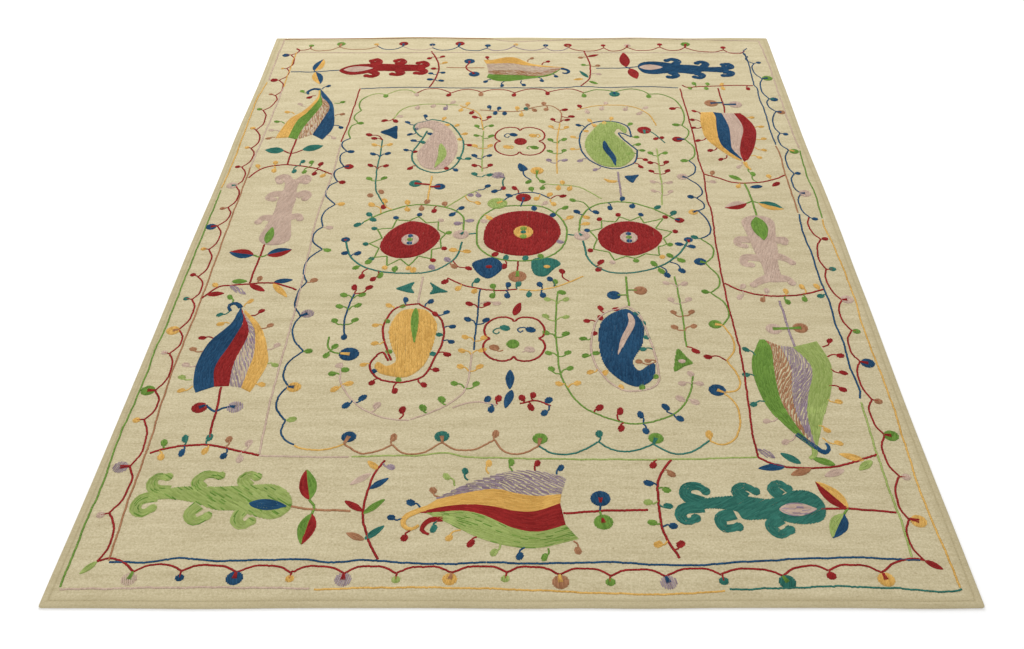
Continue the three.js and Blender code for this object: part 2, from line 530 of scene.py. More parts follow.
def blooms(text):
    """Flowers written "colour heart x,y", with their size and stem's colour if they differ."""
    for colour, heart, place, *more in rows_of(text):
        x, y = spots(place)[0]
        size = float(more[0]) if more else FLOWER
        stem = more[1] if more[1:] else None
        bloom(colour, heart, x, y, size, stem=stem)


def coloured_lines(text):
    """Lines written "colour: x,y x,y ..."; a row without a colour goes on with the line above."""
    lines = []
    for row in text.strip().splitlines():
        colour, parted, path = row.rpartition(":")
        if parted:
            lines.append([colour.strip(), path])
        else:
            lines[-1][1] += path
    return lines


def chain_rows(text, width=CHAIN_WIDTH):
    """Chain stitch along each coloured line."""
    for colour, path in coloured_lines(text):
        chain(colour, path, width=width)


# The border: a straight line near the edge, a scalloped vine with a bud at each cusp,
# and a straight line round the panels.
def sew_outer_line():
    chain_rows("""
        M: -845,1085 -845,900 -843,800
        Y: -845,790 -855,700 -853,500 -850,330 -853,200
        G: -852,190 -852,-100 -852,-200 -850,-350 -853,-450 -850,-520 -853,-740
            -848,-800 -850,-900 -849,-1054
        M: -849,-1058 -600,-1054 -380,-1056
        Y: -372,-1058 -200,-1054 0,-1058 170,-1066 300,-1068 400,-1061
        T: 408,-1058 500,-1056 600,-1052 700,-1055 830,-1062 845,-1057
        Y: 843,-1055 835,-900 833,-850 838,-700 842,-600 840,-350 845,-270 842,-70 835,30 838,56
        G: 838,62 842,150 842,200 838,250 840,300 845,390
        M: 845,400 843,520 845,700 846,800 848,900 843,1075
        N: -845,1085 -700,1090 -500,1092 -350,1096 -200,1092 -100,1088
        M: -95,1086 -50,1072 0,1070 100,1078 200,1085 350,1090 450,1093 560,1085 700,1080 845,1075
        """, width=EDGE_CHAIN)


# Each row: the cusp, the bud's colour and heart ("-" for none), its place and its size.
VINE_SIDES = [
    ("R", (17, 0), """
        -790,1020 ; -800,972 B - -818,970 12; -798,880 Y - -812,880 5; -808,803 R - -825,803 12
        -800,705 N - -818,713 6; -822,615 G - -835,622 8; -820,502 Y - -832,512 8; -812,402 Y - -826,405 7
        -818,302 R - -831,304 7; -815,213 M T -826,212 15; -812,108 N - -827,104 7; -822,27 B R -838,23 13
        -820,-72 Y - -835,-70 7; -820,-180 R - -835,-173 7; -813,-266 T - -828,-263 7
        -817,-372 Y N -829,-375 15; -815,-450 M - -829,-448 7; -815,-566 G R -832,-566 15
        -815,-650 Y - -831,-652 8; -806,-776 v R -825,-778 15; -811,-890 M - -827,-895 8; -798,-1000
        """),
    ("R", (0, 14), """
        -798,-1000; -722,-1021 m G -725,-1037 14; -630,-1020 B - -630,-1034 8; -525,-1022 B R -526,-1035 15
        -421,-1023 Y - -421,-1036 8; -320,-1024 v R -320,-1038 15; -220,-1024 L - -220,-1038 8
        -115,-1024 Y N -118,-1037 13; -10,-1023 L - -13,-1036 8; 90,-1027 N Y 92,-1043 15
        187,-1030 G - 186,-1043 9; 291,-1031 v B 296,-1044 15; 398,-1027 T - 400,-1041 9
        513,-1030 T G 520,-1043 15; 603,-1018 R - 606,-1030 9; 705,-1024 Y R 708,-1038 15; 793,-998
        """),
    ("B", (-15, 0), """
        793,1020 ; 785,960 ; 798,915 B - 815,920 8; 808,812 G B 826,815 16; 808,685 B T 823,681 12
        815,608 N B 831,603 12; 803,483 B - 820,478 8; 812,392 G Y 827,385 13; 803,270 B - 815,272 8
        803,175 M B 814,174 16; 803,65 B - 817,58 8
        """),
    ("R", (-15, 0), """
        803,65; 813,-28 R - 825,-28 8; 800,-152 T - 816,-151 9; 812,-267 M R 825,-266 15
        808,-375 G - 820,-378 9; 803,-477 B R 820,-482 15; 800,-592 N - 813,-598 9
        800,-692 G R 814,-695 15; 800,-802 M - 815,-803 9; 790,-905 Y R 808,-910 15; 793,-998
        """),
    ("R", (0, -10), "-790,1015; -742,1018 G - -741,1040 9"),
    ("N", (0, -22), "-742,1018; -640,1030 G N -638,1053 14; -505,1035 Y - -513,1050 8"),
    ("B", (0, -24), "-505,1035; -417,1035 R B -417,1055 15"),
    ("M", (0, -22), "-417,1035; -312,1025 B - -315,1047 10"),
    ("B", (0, -22), "-312,1025; -222,1032 R B -218,1055 15; -122,1020 B - -119,1040 10"),
    ("V", (0, -22), "-122,1020; -28,1035 Y - -20,1047 8; 85,1025 B - 85,1040 9; 165,1025"),
    ("R", (0, -22), """
        165,1025 R N 163,1041 13; 289,1022 R - 288,1040 8; 370,1027 M R 373,1040 11; 487,1030 R - 488,1048 9
        575,1027 G R 579,1050 15; 708,1010 R - 709,1026 9; 780,1000
        """),
]


SHOULDER = 0.85  # how much of its bow a scallop has a quarter of the way along
BUD_DEEP = 0.92


def scallop(a, b, bow):
    """The points of a scallop from cusp to cusp, bow giving how far its middle stands out."""
    bow = np.array(bow)
    first = a * 0.75 + b * 0.25 + bow * SHOULDER
    last = a * 0.25 + b * 0.75 + bow * SHOULDER
    return [a, first, (a + b) / 2 + bow, last, b]


def sew_scalloped_vine():
    for colour, bow, text in VINE_SIDES:
        rows = rows_of(text)
        cusps = [spots(row[0])[0] for row in rows]
        for a, b in zip(cusps, cusps[1:]):
            chain(colour, scallop(a, b, bow), width=THIN_CHAIN)
        for cusp, *flower in rows:
            if not flower:
                continue
            wool, heart, place, size = flower
            x, y = spots(place)[0]
            r = float(size)
            if heart == "-":
                chain(colour, [spots(cusp)[0], [x, y]], width=STEM_WIDTH, carries=False)
                disc(wool, x, y, r, r * BUD_DEEP)
            else:
                bloom(wool, heart, x, y, r, spots(cusp)[0])
    leaf("L", (-798, -1000), (-822, -1026), 14)
    leaf("R", (793, -998), (822, -1016), 14)


def sew_panel_lines():
    chain_rows("""
        B: -775,-1001 -700,-1001 -650,-993 -560,-998 -410,-995 -350,-1001 -290,-997 -150,-1005 -50,-1001
        B: -50,-1001 50,-1004 180,-1001 330,-1008 480,-998 650,-991 785,-997
        N: -776,-998 -782,-870 -783,-720 -790,-600 -793,-500 -790,-300 -792,0 -792,180 -793,300
        M: -793,300 -788,500 -786,650 -785,755
        Y: -785,760 -786,880 -785,990
        M: -775,992 -600,987 -250,991 0,992 600,990 778,992
        B: 778,985 780,930 775,800 773,770 780,750 776,680 780,620 777,520 778,420
        N: 778,415 781,350 777,270 777,165 776,85
        B: 778,80 773,40 773,-50 776,-100 774,-190 779,-270 775,-350 779,-400 776,-500 779,-567 774,-590
        L: 774,-600 771,-700 770,-800 773,-920 771,-990
        B: -528,747 -450,755 -350,757 -200,753 0,754 140,755 190,762 300,755 400,761 520,753
        R: -530,750 -533,680 -540,500 -547,435
        M: -545,425 -545,280 -553,150 -557,50 -552,-100 -548,-300 -548,-600 -541,-745
        R: 525,748 530,620 535,430 533,350 538,270 532,130 537,100 531,0 526,-130 525,-310 530,-430
        R: 530,-430 524,-560 516,-680 516,-752
        M: -541,-748 -450,-751 -350,-752
        L: -345,-751 -300,-749 -200,-747 -150,-741 -100,-751 0,-755 100,-757 330,-758 515,-752
        """, width=THIN_CHAIN)


# The vine round the field: each row is an arc or run in one colour.
def sew_field_vine():
    chain_rows("""
        G: -500,700 -517,675 -517,640 -508,612
        G: -508,612 -520,595 -525,570 -508,540
        G: -508,540 -526,525 -530,490 -520,455
        B: -520,455 -538,440 -540,415 -520,385
        B: -520,385 -534,370 -535,340 -518,305
        B: -518,305 -536,290 -540,262 -525,230
        B: -525,230 -545,210 -548,165 -515,123
        B: -515,123 -538,95 -543,60 -533,25
        B: -533,25 -548,5 -551,-35 -520,-72
        B: -520,-72 -548,-110 -553,-160 -537,-202
        B: -537,-202 -550,-230 -552,-285 -530,-325
        B: -530,-325 -541,-355 -532,-405 -503,-443
        B: -503,-443 -528,-475 -535,-520 -517,-555
        B: -517,-555 -533,-585 -530,-620 -503,-653
        B: -503,-653 -508,-685 -490,-710 -472,-720
        Y: -472,-720 -455,-729 -400,-732 -366,-717
        N: -366,-717 -325,-742 -295,-738 -262,-720
        N: -262,-720 -240,-740 -200,-742 -155,-713
        N: -155,-713 -125,-732 -85,-732 -43,-706
        N: -43,-706 -20,-738 20,-742 52,-723
        T: 52,-723 85,-744 130,-741 180,-712
        T: 180,-712 210,-733 255,-735 298,-718
        T: 298,-718 335,-741 375,-740 420,-708
        Y: 420,-708 445,-719 478,-700 495,-650 490,-600 470,-572
        Y: 470,-572 500,-566 513,-541 508,-508 492,-474
        Y: 492,-474 516,-440 517,-400 500,-357
        G: 500,-357 520,-325 518,-280 488,-242
        G: 488,-242 512,-215 516,-180 490,-127
        G: 490,-127 513,-100 518,-65 490,-27
        B: 490,-27 519,-5 522,45 500,95
        B: 500,95 518,108 518,130 503,152
        B: 503,152 522,175 515,215 487,250
        B: 487,250 512,275 518,310 505,337
        G: 505,337 524,365 527,410 505,450
        G: 505,450 520,475 522,500 505,527
        G: 505,527 517,560 517,620 505,670 480,700 450,715 420,715
        G: 420,715 395,738 355,745 307,728
        G: 307,728 285,738 245,740 207,722
        R: 207,722 175,744 140,745 88,726
        R: 88,726 70,742 20,745 -20,722
        R: -20,722 -50,740 -95,742 -130,725
        R: -130,725 -155,741 -195,742 -228,720
        R: -228,720 -265,745 -310,746 -342,718
        L: -342,718 -365,738 -405,736 -440,710
        L: -440,710 -460,718 -485,712 -500,700
        """, width=THIN_CHAIN)
    buds("""G -500,540; B -508,383; R -503,305; R -511,228; Y -498,125; M -515,20; G -505,-75; N -520,-195
        L -490,-650; G -440,702; M -340,710; R -235,708; N -130,712; R -22,708; R 88,718; G 207,704
        G 418,700; G 487,530; R 487,625; G 490,336; B 487,158; T 475,-21; G 474,-237; Y 421,-692
        T 183,-690; N -41,-690; N -261,-700; G -490,-443""", r=9)
    blooms("""v B -515,-317; Y B -503,-556; B N -358,-698; T N -157,-697; G N 55,-703; G T 305,-702
        B Y 457,-565 18; G Y 483,-354; B G 477,-122; Y B 485,88 12; M B 475,255; R B 483,450 15
        T B 307,714 16; R B -503,305 13""")


# The dividing vines between the side panels, with small leaves on both sides.
def sew_dividing_vines():
    chain_rows("""
        R: -541,-748 -600,-732 -650,-721 -690,-720 -735,-727 -775,-742
        R: -790,-262 -755,-218 -720,-212 -680,-208 -625,-204 -590,-215 -558,-232
        R: -787,250 -760,293 -730,308 -700,313 -670,312 -605,298 -547,267
        R: 535,770 545,758 600,760 700,768 770,767
        R: 537,270 580,248 620,227 690,226 740,243 775,263
        R: 528,-205 560,-230 600,-246 650,-253 710,-249 775,-228
        R: 515,-752 550,-772 650,-780 730,-760 770,-745
        """)
    leaves("""R -738,-243 -780,-248; G -690,-198 -728,-198; v -682,-247 -730,-215; R -638,-235 -680,-210
        B -575,-193 -620,-200; Y -577,-257 -622,-207; G 645,238 612,262; B 663,203 699,208
        R 728,207 752,228; B 512,-781 568,-776; T 566,-742 603,-768
        v 518,-730 552,-754; N 577,-798 622,-782; M 646,-801 690,-784; G 630,-754 674,-772
        Y 690,-744 738,-760; L 722,-785 754,-762""", wide=18)
    buds("""G -752,-714; T -710,-703; T -658,-700; N -615,-705; M -570,-715; Y -748,-752; B -707,-741
        Y -659,-736; B -616,-749; M -580,-757; Y -768,-212; N -660,-187; Y -772,308; Y -723,325
        Y -720,285; T -643,330; T -660,282; G -617,327; G -630,279; R -588,318; R -599,270; Y -573,260
        G 575,780; G 558,750; G 620,778; G 612,748; Y 667,775; Y 667,748; R 750,747; N 565,275
        G 682,268; M 560,230; Y 630,208; Y 727,258; M 573,-217; M 558,-257; M 630,-233; N 614,-267
        Y 678,-235; Y 722,-219; Y 760,-217; G 675,-275; G 719,-265; T 762,-253""", r=8)


def leaves(text, wide):
    """Leaves written "colours tip base"."""
    for colours, tip, base in rows_of(text):
        leaf(colours, spots(base)[0], spots(tip)[0], wide)


# Upright vines that part the end panels in three.
def sew_upright_vines():
    chain_rows("""
        R: -272,-760 -290,-795 -302,-860 -300,-900 -275,-970 -258,-995
        R: 331,-758 300,-810 294,-870 299,-940 322,-993
        R: -315,998 -292,945 -280,880 -285,822 -303,758
        R: 218,1003 233,930 235,890 230,815 198,765
        """)
    leaves("""Y -308,-762 -284,-784; M -338,-822 -298,-795; B -260,-806 -296,-832; R -342,-862 -303,-886
        G -262,-858 -301,-892; T -256,-920 -290,-950; N -328,-936 -292,-952; R 268,976 230,962
        T 198,865 226,820; Y 176,806 208,812; G 256,778 228,796""", wide=15)
    buds("""V -258,-778; R 292,-773; N 328,-795; B 278,-818; G 314,-835; L 273,-865; T 313,-874; G 277,-913
        B 318,-921; Y 284,-962; R 328,-962; R -318,950; R -273,962; Y -262,920; R -298,880; B -264,853
        B -305,848; B -305,808; B -266,800; N 205,955; G 213,905; M 262,842; N 262,900""", r=8)


# Scrolled leaves: a long body with curled hooks, a heart along it and a stem with two leaves.
SCROLLED_LEAVES = {
    "near left": dict(
        wool="LLLLLLLG", lean=-32,
        body="""-455,-850 -475,-830 -500,-821 -530,-822 -600,-827 -690,-828 -745,-845 -740,-857 -700,-857
            -650,-865 -600,-883 -560,-885 -520,-897 -485,-905 -460,-895 -448,-875""",
        hooks="""-705,-838 -735,-835 -748,-818 -740,-803 -718,-803
            -725,-850 -757,-858 -763,-880 -745,-892 -729,-880
            -640,-834 -655,-815 -640,-797 -610,-800; -635,-872 -650,-893 -635,-910 -613,-898
            -545,-828 -561,-810 -550,-797 -533,-803; -545,-885 -553,-905 -538,-920 -522,-910""",
        heart=("B", "-535,-868 -458,-875", 26), stem=("N", "-450,-875 -400,-882 -327,-886"),
        leaves="R|G -434,-785 -415,-858; G|R -413,-962 -405,-893",
        tie=("G", "-415,-858 -402,-878 -405,-893"),
    ),
    "near right": dict(
        wool="T", lean=30,
        body="""630,-875 620,-850 600,-837 570,-838 520,-857 470,-850 420,-852 375,-862 372,-880 400,-880
            450,-888 460,-905 520,-905 560,-915 590,-916 620,-905""",
        hooks="""385,-866 352,-850 355,-830 380,-826 393,-838; 385,-876 342,-882 335,-900 350,-911 365,-903
            474,-855 457,-838 473,-826 495,-838; 445,-892 414,-903 420,-926 447,-923
            545,-850 532,-833 546,-820 563,-832; 535,-903 512,-920 525,-940 548,-930""",
        heart=("MMV", "536,-883 611,-882", 32), stem=("R", "620,-882 675,-880 770,-890"),
        leaves="R|Y 624,-815 675,-880; L|B 628,-948 663,-893", tie=("G", "675,-880 668,-886 663,-893"),
    ),
    "far left": dict(
        wool="R", lean=-30,
        body="""-617,868 -600,890 -570,905 -500,913 -420,908 -330,898 -330,872 -400,862 -500,862 -520,850
            -570,838 -600,848""",
        hooks="""-515,908 -487,922 -497,940 -515,932; -430,906 -404,922 -415,940 -432,932
            -350,892 -324,903 -335,923 -353,917; -510,862 -488,845 -500,828 -521,832
            -420,867 -403,848 -420,839 -436,843; -350,876 -326,862 -335,847 -356,850""",
        heart=("M", "-602,870 -505,882", 36), stem=("B", "-617,870 -700,858 -780,858"),
        leaves="B|Y -682,942 -700,862; Y|B -668,778 -695,855", tie=("B", "-700,862 -697,858 -695,855"),
    ),
    "far right": dict(
        wool="B", lean=30,
        body="""398,890 405,912 425,925 460,928 500,920 540,908 590,903 640,890 700,888 700,855 650,857
            610,858 590,842 540,850 490,848 450,842 415,852""",
        hooks="""525,908 539,928 520,943 500,934; 620,890 633,912 616,925 602,916
            685,882 716,891 708,910 690,906; 505,855 524,835 510,821 496,823
            590,850 611,835 600,818 584,823; 685,860 712,851 704,836 682,833""",
        heart=("M", "403,888 482,888", 36), stem=("B", "398,893 350,885 255,882"),
        leaves="R|R 355,990 357,892; R|R 388,812 372,880", tie=("B", "357,892 364,886 372,880"),
    ),
    "left middle": dict(
        wool="M", lean=70,
        body="""-675,-52 -696,-30 -690,20 -683,60 -679,100 -680,150 -673,200 -673,238 -637,238 -637,200
            -630,150 -631,100 -627,60 -620,20 -614,-30 -635,-52""",
        hooks="""-662,228 -682,255 -700,248 -691,228; -640,228 -622,254 -611,240 -617,228
            -670,172 -700,170 -707,150 -693,146; -632,160 -609,178 -598,165 -605,149
            -680,60 -703,62 -714,43; -636,62 -608,70 -602,57""",
        heart=("G", "-672,-48 -670,20", 24), stem=("R", "-676,-52 -680,-140 -682,-205"),
        leaves="R|B -762,-83 -697,-95; B|R -600,-73 -660,-95", tie=("G", "-697,-95 -679,-103 -660,-95"),
    ),
    "right middle": dict(
        wool="M", lean=70,
        body="""637,70 614,50 617,0 621,-30 626,-80 635,-130 636,-170 632,-197 682,-197 678,-170
            679,-130 688,-80 693,-30 697,0 700,50 677,70""",
        hooks="""622,-32 592,-32 588,-50 604,-58; 690,-36 716,-32 712,-45
            636,-108 597,-106 591,-130 608,-135
            678,-98 702,-110 716,-126; 642,-186 616,-200 601,-212; 672,-186 694,-192 700,-205""",
        heart=("G", "656,66 660,-34", 44), stem=("G", "650,222 658,150 658,72"),
        leaves="M|R 577,108 640,128; T|Y 740,102 675,130", tie=("G", "640,128 658,136 675,130"),
    ),
}


HOOK_WIDE = 27
HOOK_END = 14
HOOK_ROUND = 10
HOOK_LIFT = 0.2
PAIRED_LEAF = 36


def sew_scrolled_leaves():
    for part in SCROLLED_LEAVES.values():
        fill(part["wool"], part["body"], part["lean"])
        for hook in part["hooks"].replace("\n", ";").split(";"):
            ribbon(part["wool"], hook, HOOK_WIDE, HOOK_END)
            tip_x, tip_y = spots(hook)[-1]
            disc(part["wool"], tip_x, tip_y, HOOK_ROUND, lean=part["lean"], lift=HOOK_LIFT)
        heart, axis, wide = part["heart"]
        start, end = spots(axis)
        leaf(heart, start, end, wide, lift=OVER)
        chain(*part["stem"])
        chain(*part["tie"])
        leaves(part["leaves"], PAIRED_LEAF)


# Striped leaves: bands of yarn between edges that run together at the tip.
STRIPED_LEAVES = [
    dict(
        edges=[
            "-158,-855 -80,-812 0,-788 50,-788 110,-805",
            "-155,-858 -80,-838 -30,-833 0,-842 50,-850 98,-845",
            "-195,-890 -140,-875 -90,-870 -40,-875 0,-885 40,-887 95,-867",
            "-175,-890 -100,-885 -60,-895 0,-925 50,-934 105,-918",
            "-172,-892 -110,-925 -60,-950 0,-967 50,-970 130,-950",
        ],
        wools=["v", "Y", "R", "LLLLLLG"],
        curls="""Y: -160,-874 -200,-890 -218,-903 -217,-920 -200,-928 -187,-918
            R: -140,-905 -165,-907 -178,-920 -180,-932 -165,-940""",
        stem="R: 100,-891 175,-886 272,-883",
        buds="""L -140,-802 -122,-826; T -102,-788 -95,-812; Y -53,-768 -52,-795; G -6,-765 -3,-789
            R 49,-768 44,-788; B 98,-780 89,-797; N -165,-836 -150,-853; B -208,-866 -187,-878
            B -244,-901 -220,-903; R -213,-948 -202,-930; T -157,-927 -150,-907; Y -125,-948 -103,-930
            R -82,-960 -70,-945; L -36,-980 -24,-960; B 14,-988 24,-968; G 62,-990 70,-970
            N 127,-976 118,-955""",
        blooms="B R 177,-856 19 B; G R 180,-912 18 G",
    ),
    dict(
        edges=[
            "-684,-292 -695,-350 -732,-415 -743,-490 -733,-550 -722,-573",
            "-681,-300 -667,-340 -680,-420 -698,-495 -685,-555",
            "-676,-312 -648,-370 -645,-400 -657,-480 -652,-553",
            "-673,-310 -635,-370 -617,-450 -619,-500 -623,-558",
            "-672,-303 -615,-370 -585,-450 -578,-480 -593,-550 -600,-572",
        ],
        wools=["B", "R", "vvm", "Y"],
        curls="B: -684,-296 -693,-283 -708,-280 -715,-290 -706,-308",
        stem="R: -669,-555 -662,-620 -662,-660 -658,-700",
        buds="""G -720,-257 -708,-280; Y -665,-272 -678,-292; T -730,-320 -708,-305; R -630,-307 -655,-325
            Y -720,-353 -698,-350; N -598,-357 -622,-368; R -752,-400 -724,-402; N -764,-437 -738,-443
            M -568,-424 -590,-437; M -768,-487 -743,-490; L -560,-488 -579,-482; L -766,-526 -740,-533
            Y -757,-566 -733,-553; Y -578,-548 -594,-540""",
        blooms="R B -702,-617 16; v B -623,-615 17",
        link="B: -690,-610 -675,-622 -663,-628 -650,-618 -635,-613",
    ),
    dict(
        edges=[
            "-664,738 -662,690 -700,600 -725,570 -745,490 -750,455",
            "-662,740 -655,690 -680,600 -700,560 -712,460",
            "-660,740 -648,690 -640,650 -660,570 -678,500 -683,447",
            "-658,740 -650,700 -622,660 -612,630 -627,540 -640,475",
            "-660,745 -640,715 -605,650 -590,580 -583,540 -585,500 -605,447",
        ],
        wools=["Y", "G", "nnm", "B"],
        curls="B: -660,742 -680,746 -695,735 -700,722 -692,713",
        stem="R: -685,450 -687,375 -687,315",
        buds="""G -718,732 -698,722; B -637,765 -655,745; R -688,693 -668,705; M -710,652 -690,640
            Y -743,605 -718,592; G -765,549 -738,538; M -772,500 -745,492; N -772,455 -752,460
            N -565,592 -588,583; B -558,515 -583,528; M -572,457 -597,470; G -575,665 -602,658""",
        blooms="",
        leaves="T|T -768,392 -712,388; T|T -597,415 -655,393",
        link="R: -712,388 -686,373 -655,393",
    ),
    dict(
        edges=[
            "-130,938 -100,940 -50,958 -20,955 30,915 100,895 148,887",
            "-120,912 -30,915 0,905 80,890 144,885",
            "-112,865 -40,868 50,865 130,880",
            "-110,843 -85,840 0,835 60,830 100,845 134,876",
            "-115,822 -85,800 -50,795 0,805 50,818 100,835 132,872",
        ],
        wools=["Y", "m", "nnm", "G"],
        curls="B: 135,880 155,872 162,857 150,846 139,852",
        stem="N: -125,885 -190,886 -255,888",
        buds="""R -118,957 -112,940; N 37,950 22,925; R 92,928 70,905; B 118,828 103,845; B 70,800 58,822
            B 10,772 2,802; B -62,768 -55,795; B -118,793 -100,808""",
        blooms="B R -178,930 17; B R -158,843 17",
        link="R: -178,918 -188,888 -178,868 -165,856",
    ),
    dict(
        edges=[
            "661,335 640,348 600,400 570,460 566,500 567,560 575,603",
            "661,340 635,375 613,420 611,500 618,580 613,605",
            "663,345 643,400 645,440 651,520 640,598",
            "665,345 663,370 673,430 693,500 693,540 678,597",
            "668,330 685,350 715,420 732,500 725,545 700,598",
        ],
        wools=["Y", "B", "M", "R"],
        curls="Y: 669,330 672,305 681,290",
        stem="R: 650,750 653,650 651,600",
        buds="""R 554,610 574,592; R 542,558 567,548; R 540,514 566,518; R 545,443 573,458
            R 575,390 598,405
            R 600,343 622,365; Y 732,572 712,568; Y 752,520 732,515; Y 748,453 724,452; Y 738,391 712,408
            Y 717,353 692,362; G 683,270 675,300; M 647,305 660,328""",
        blooms="N B 615,657 20; M B 692,650 20",
    ),
    dict(
        edges=[
            "640,-735 585,-660 560,-610 547,-520 552,-470 582,-405",
            "640,-730 605,-640 595,-590 597,-510 603,-430 592,-405",
            "642,-730 622,-640 625,-570 637,-500 625,-425",
            "644,-725 645,-640 660,-580 685,-510 683,-480 655,-430",
            "646,-730 682,-640 715,-565 733,-490 717,-410",
        ],
        wools=["G", "n", "v", "L"],
        curls="""B: 610,-690 640,-722 660,-741 672,-727 667,-715
            L: 640,-730 637,-748 624,-756""",
        stem="V: 655,-270 658,-380 660,-430",
        buds="""T 543,-438 562,-458; T 530,-518 550,-522; T 532,-607 560,-598; M 552,-655 578,-645
            M 582,-712 608,-688; R 748,-409 726,-430; R 762,-458 730,-462; R 756,-512 728,-500
            R 742,-563 712,-552; Y 724,-599 700,-592; Y 679,-680 662,-668; Y 696,-715 664,-700""",
        blooms="M G 622,-370 18; N G 687,-367 17",
    ),
]


CURL_WIDE = 12
CURL_END = 5
CURL_LIFT = 0.3
SMALL_BUD = 7.5
LINKED_LEAF = 33


def sew_striped_leaves():
    for part in STRIPED_LEAVES:
        edges = part["edges"]
        for wools, one, other in zip(part["wools"], edges, edges[1:]):
            band(wools, one, other)
        for colour, path in coloured_lines(part["curls"]):
            ribbon(colour, path, CURL_WIDE, CURL_END, lift=CURL_LIFT)
        chain_rows(part["stem"])
        chain_rows(part.get("link", ""))
        buds(part["buds"], r=SMALL_BUD)
        blooms(part["blooms"])
        leaves(part.get("leaves", ""), LINKED_LEAF)


# The field: three rosettes with rings of buds, four paisleys, two quatrefoils and vines.
ROSETTES = [
    dict(
        body="-25,88 -75,55 -92,0 -85,-57 -30,-92 40,-95 90,-60 115,0 97,60 50,90",
        heart=[("Y", 14, 0, 26), ("G", 14, 14, 9), ("T", 14, -1, 7), ("G", 14, -19, 9)],
        star="",
    ),
    dict(
        body="-290,48 -235,25 -210,-20 -232,-70 -275,-103 -325,-105 -365,-72 -357,-10 -320,35",
        heart=[("M", -290, -32, 23), ("B", -290, -17, 7), ("G", -290, -32, 7), ("B", -290, -47, 7)],
        star="""B -338,63 -328,42; B -274,77 -282,47; M -213,52 -236,29; G -188,-2 -212,-10
            R -196,-68 -222,-55; R -222,-116 -246,-88; Y -283,-147 -286,-106; Y -345,-145 -332,-106
            T -384,-110 -358,-80; T -407,-50 -368,-42; T -392,16 -352,2""",
    ),
    dict(
        body="300,48 355,30 388,-15 370,-60 310,-97 260,-90 222,-55 217,-5 250,33",
        heart=[("M", 298, -23, 23), ("B", 298, -8, 7), ("G", 298, -23, 7), ("B", 298, -38, 7)],
        star="""R 223,57 243,34; R 276,76 284,47; B 339,77 330,44; R 405,66 366,28; R 426,3 388,-4
            G 406,-52 376,-50; Y 380,-103 350,-78; G 310,-118 308,-97; M 248,-124 262,-92
            R 192,-76 226,-55; B 187,8 218,-2""",
    ),
]


STAR_GAP = 9.0  # from a tip of the zigzag to the middle of its bud
VALLEY_GAP = 3.0  # from its valleys to the rosette
STAR_BUD = (8.5, 7)


def sew_star(body, centre, text):
    """A zigzag line round a rosette with a bud on each of its tips."""
    ring = smooth(body, True) - centre
    angles = np.arctan2(ring[:, 1], ring[:, 0])
    tips = np.array([spots(row[1])[0] for row in rows_of(text)]) - centre
    tip_angles = np.arctan2(tips[:, 1], tips[:, 0])
    order = np.argsort(tip_angles)
    valleys = []
    for k, here in enumerate(order):
        turn = (tip_angles[order[(k + 1) % len(order)]] - tip_angles[here]) % (2 * np.pi)
        middle = tip_angles[here] + turn / 2
        nearest = ring[np.argmin(np.abs((angles - middle + np.pi) % (2 * np.pi) - np.pi))]
        valleys.append(nearest * (1 + VALLEY_GAP / np.linalg.norm(nearest)))
    for k, here in enumerate(order):
        reach = np.linalg.norm(tips[here])
        tip = centre + tips[here] * (reach - STAR_GAP) / reach
        chain("G", [centre + valleys[k - 1], tip], width=STEM_WIDTH)
        chain("G", [tip, centre + valleys[k]], width=STEM_WIDTH)
    for row in rows_of(text):
        oval(row[0], *spots(row[1])[0], *STAR_BUD, chance.uniform(0, 180))


ROSETTE_LEAN = 88
TWICE_OVER = 1.8  # how much higher the heart's small rounds lie than its large one
MIDDLE_RING = """-112,0 -104,62 -60,108 0,118 65,112 112,70 132,5 118,-62 70,-108 0,-118
    -62,-106 -104,-62"""


def sew_rosettes():
    for part in ROSETTES:
        fill("R", part["body"], ROSETTE_LEAN)
        for k, (wool, x, y, r) in enumerate(part["heart"]):
            disc(wool, x, y, r, lift=OVER * (1 if k == 0 else TWICE_OVER))
        _, x, y, _ = part["heart"][0]
        if part["star"]:
            sew_star(part["body"], np.array([x, y]), part["star"])
    chain("G", MIDDLE_RING, closed=True)
    chain_rows("""
        G: -425,45 -390,75 -310,118 -270,122 -190,105 -155,70 -148,0
        T: -150,-40 -165,-110 -225,-160 -320,-165 -395,-145 -440,-100 -463,-37
        G: 165,-5 175,70 215,120 290,135 370,107 430,57
        T: 173,-35 190,-120 230,-160 300,-165 370,-140 430,-85 455,-35
        T: -136,-8 -114,-5
        T: 134,-9 153,-13
        """)
    blooms("M T -155,-10 20; M T 172,-15 20; B R -463,-32 11; R B 443,52 12; B R 457,-32 11")
    buds("""B 43,105; B 95,75; T 20,-107; T -31,-106; Y -80,62; G 60,-100; R -60,-92; M -95,48; V 112,-40
        T -414,78; T -401,55; T -440,32; Y -413,122; N -422,165; N -393,182; Y -378,140; Y -313,133
        Y -310,100; N -258,137; N -271,104; N -208,127; R -235,94; B -184,78; B -160,107; V -133,50
        V -167,38; B -457,-87; B -423,-88; G -390,-122; G -420,-145; G -318,-150; G -353,-175; Y -270,-155
        Y -172,-74; Y -135,-80; N -165,-140; V -223,-143; V -185,-113; B 162,90; B 215,88; B 255,107
        B 293,150; B 318,115; T 388,110; T 430,85; B 430,-50; B 463,-60; G 355,-130; G 400,-97; G 428,-117
        G 372,-160; B 385,-175; B 425,-158; R 217,-123; R 210,-152; Y 142,65; Y 188,65; Y 185,37""", r=9)


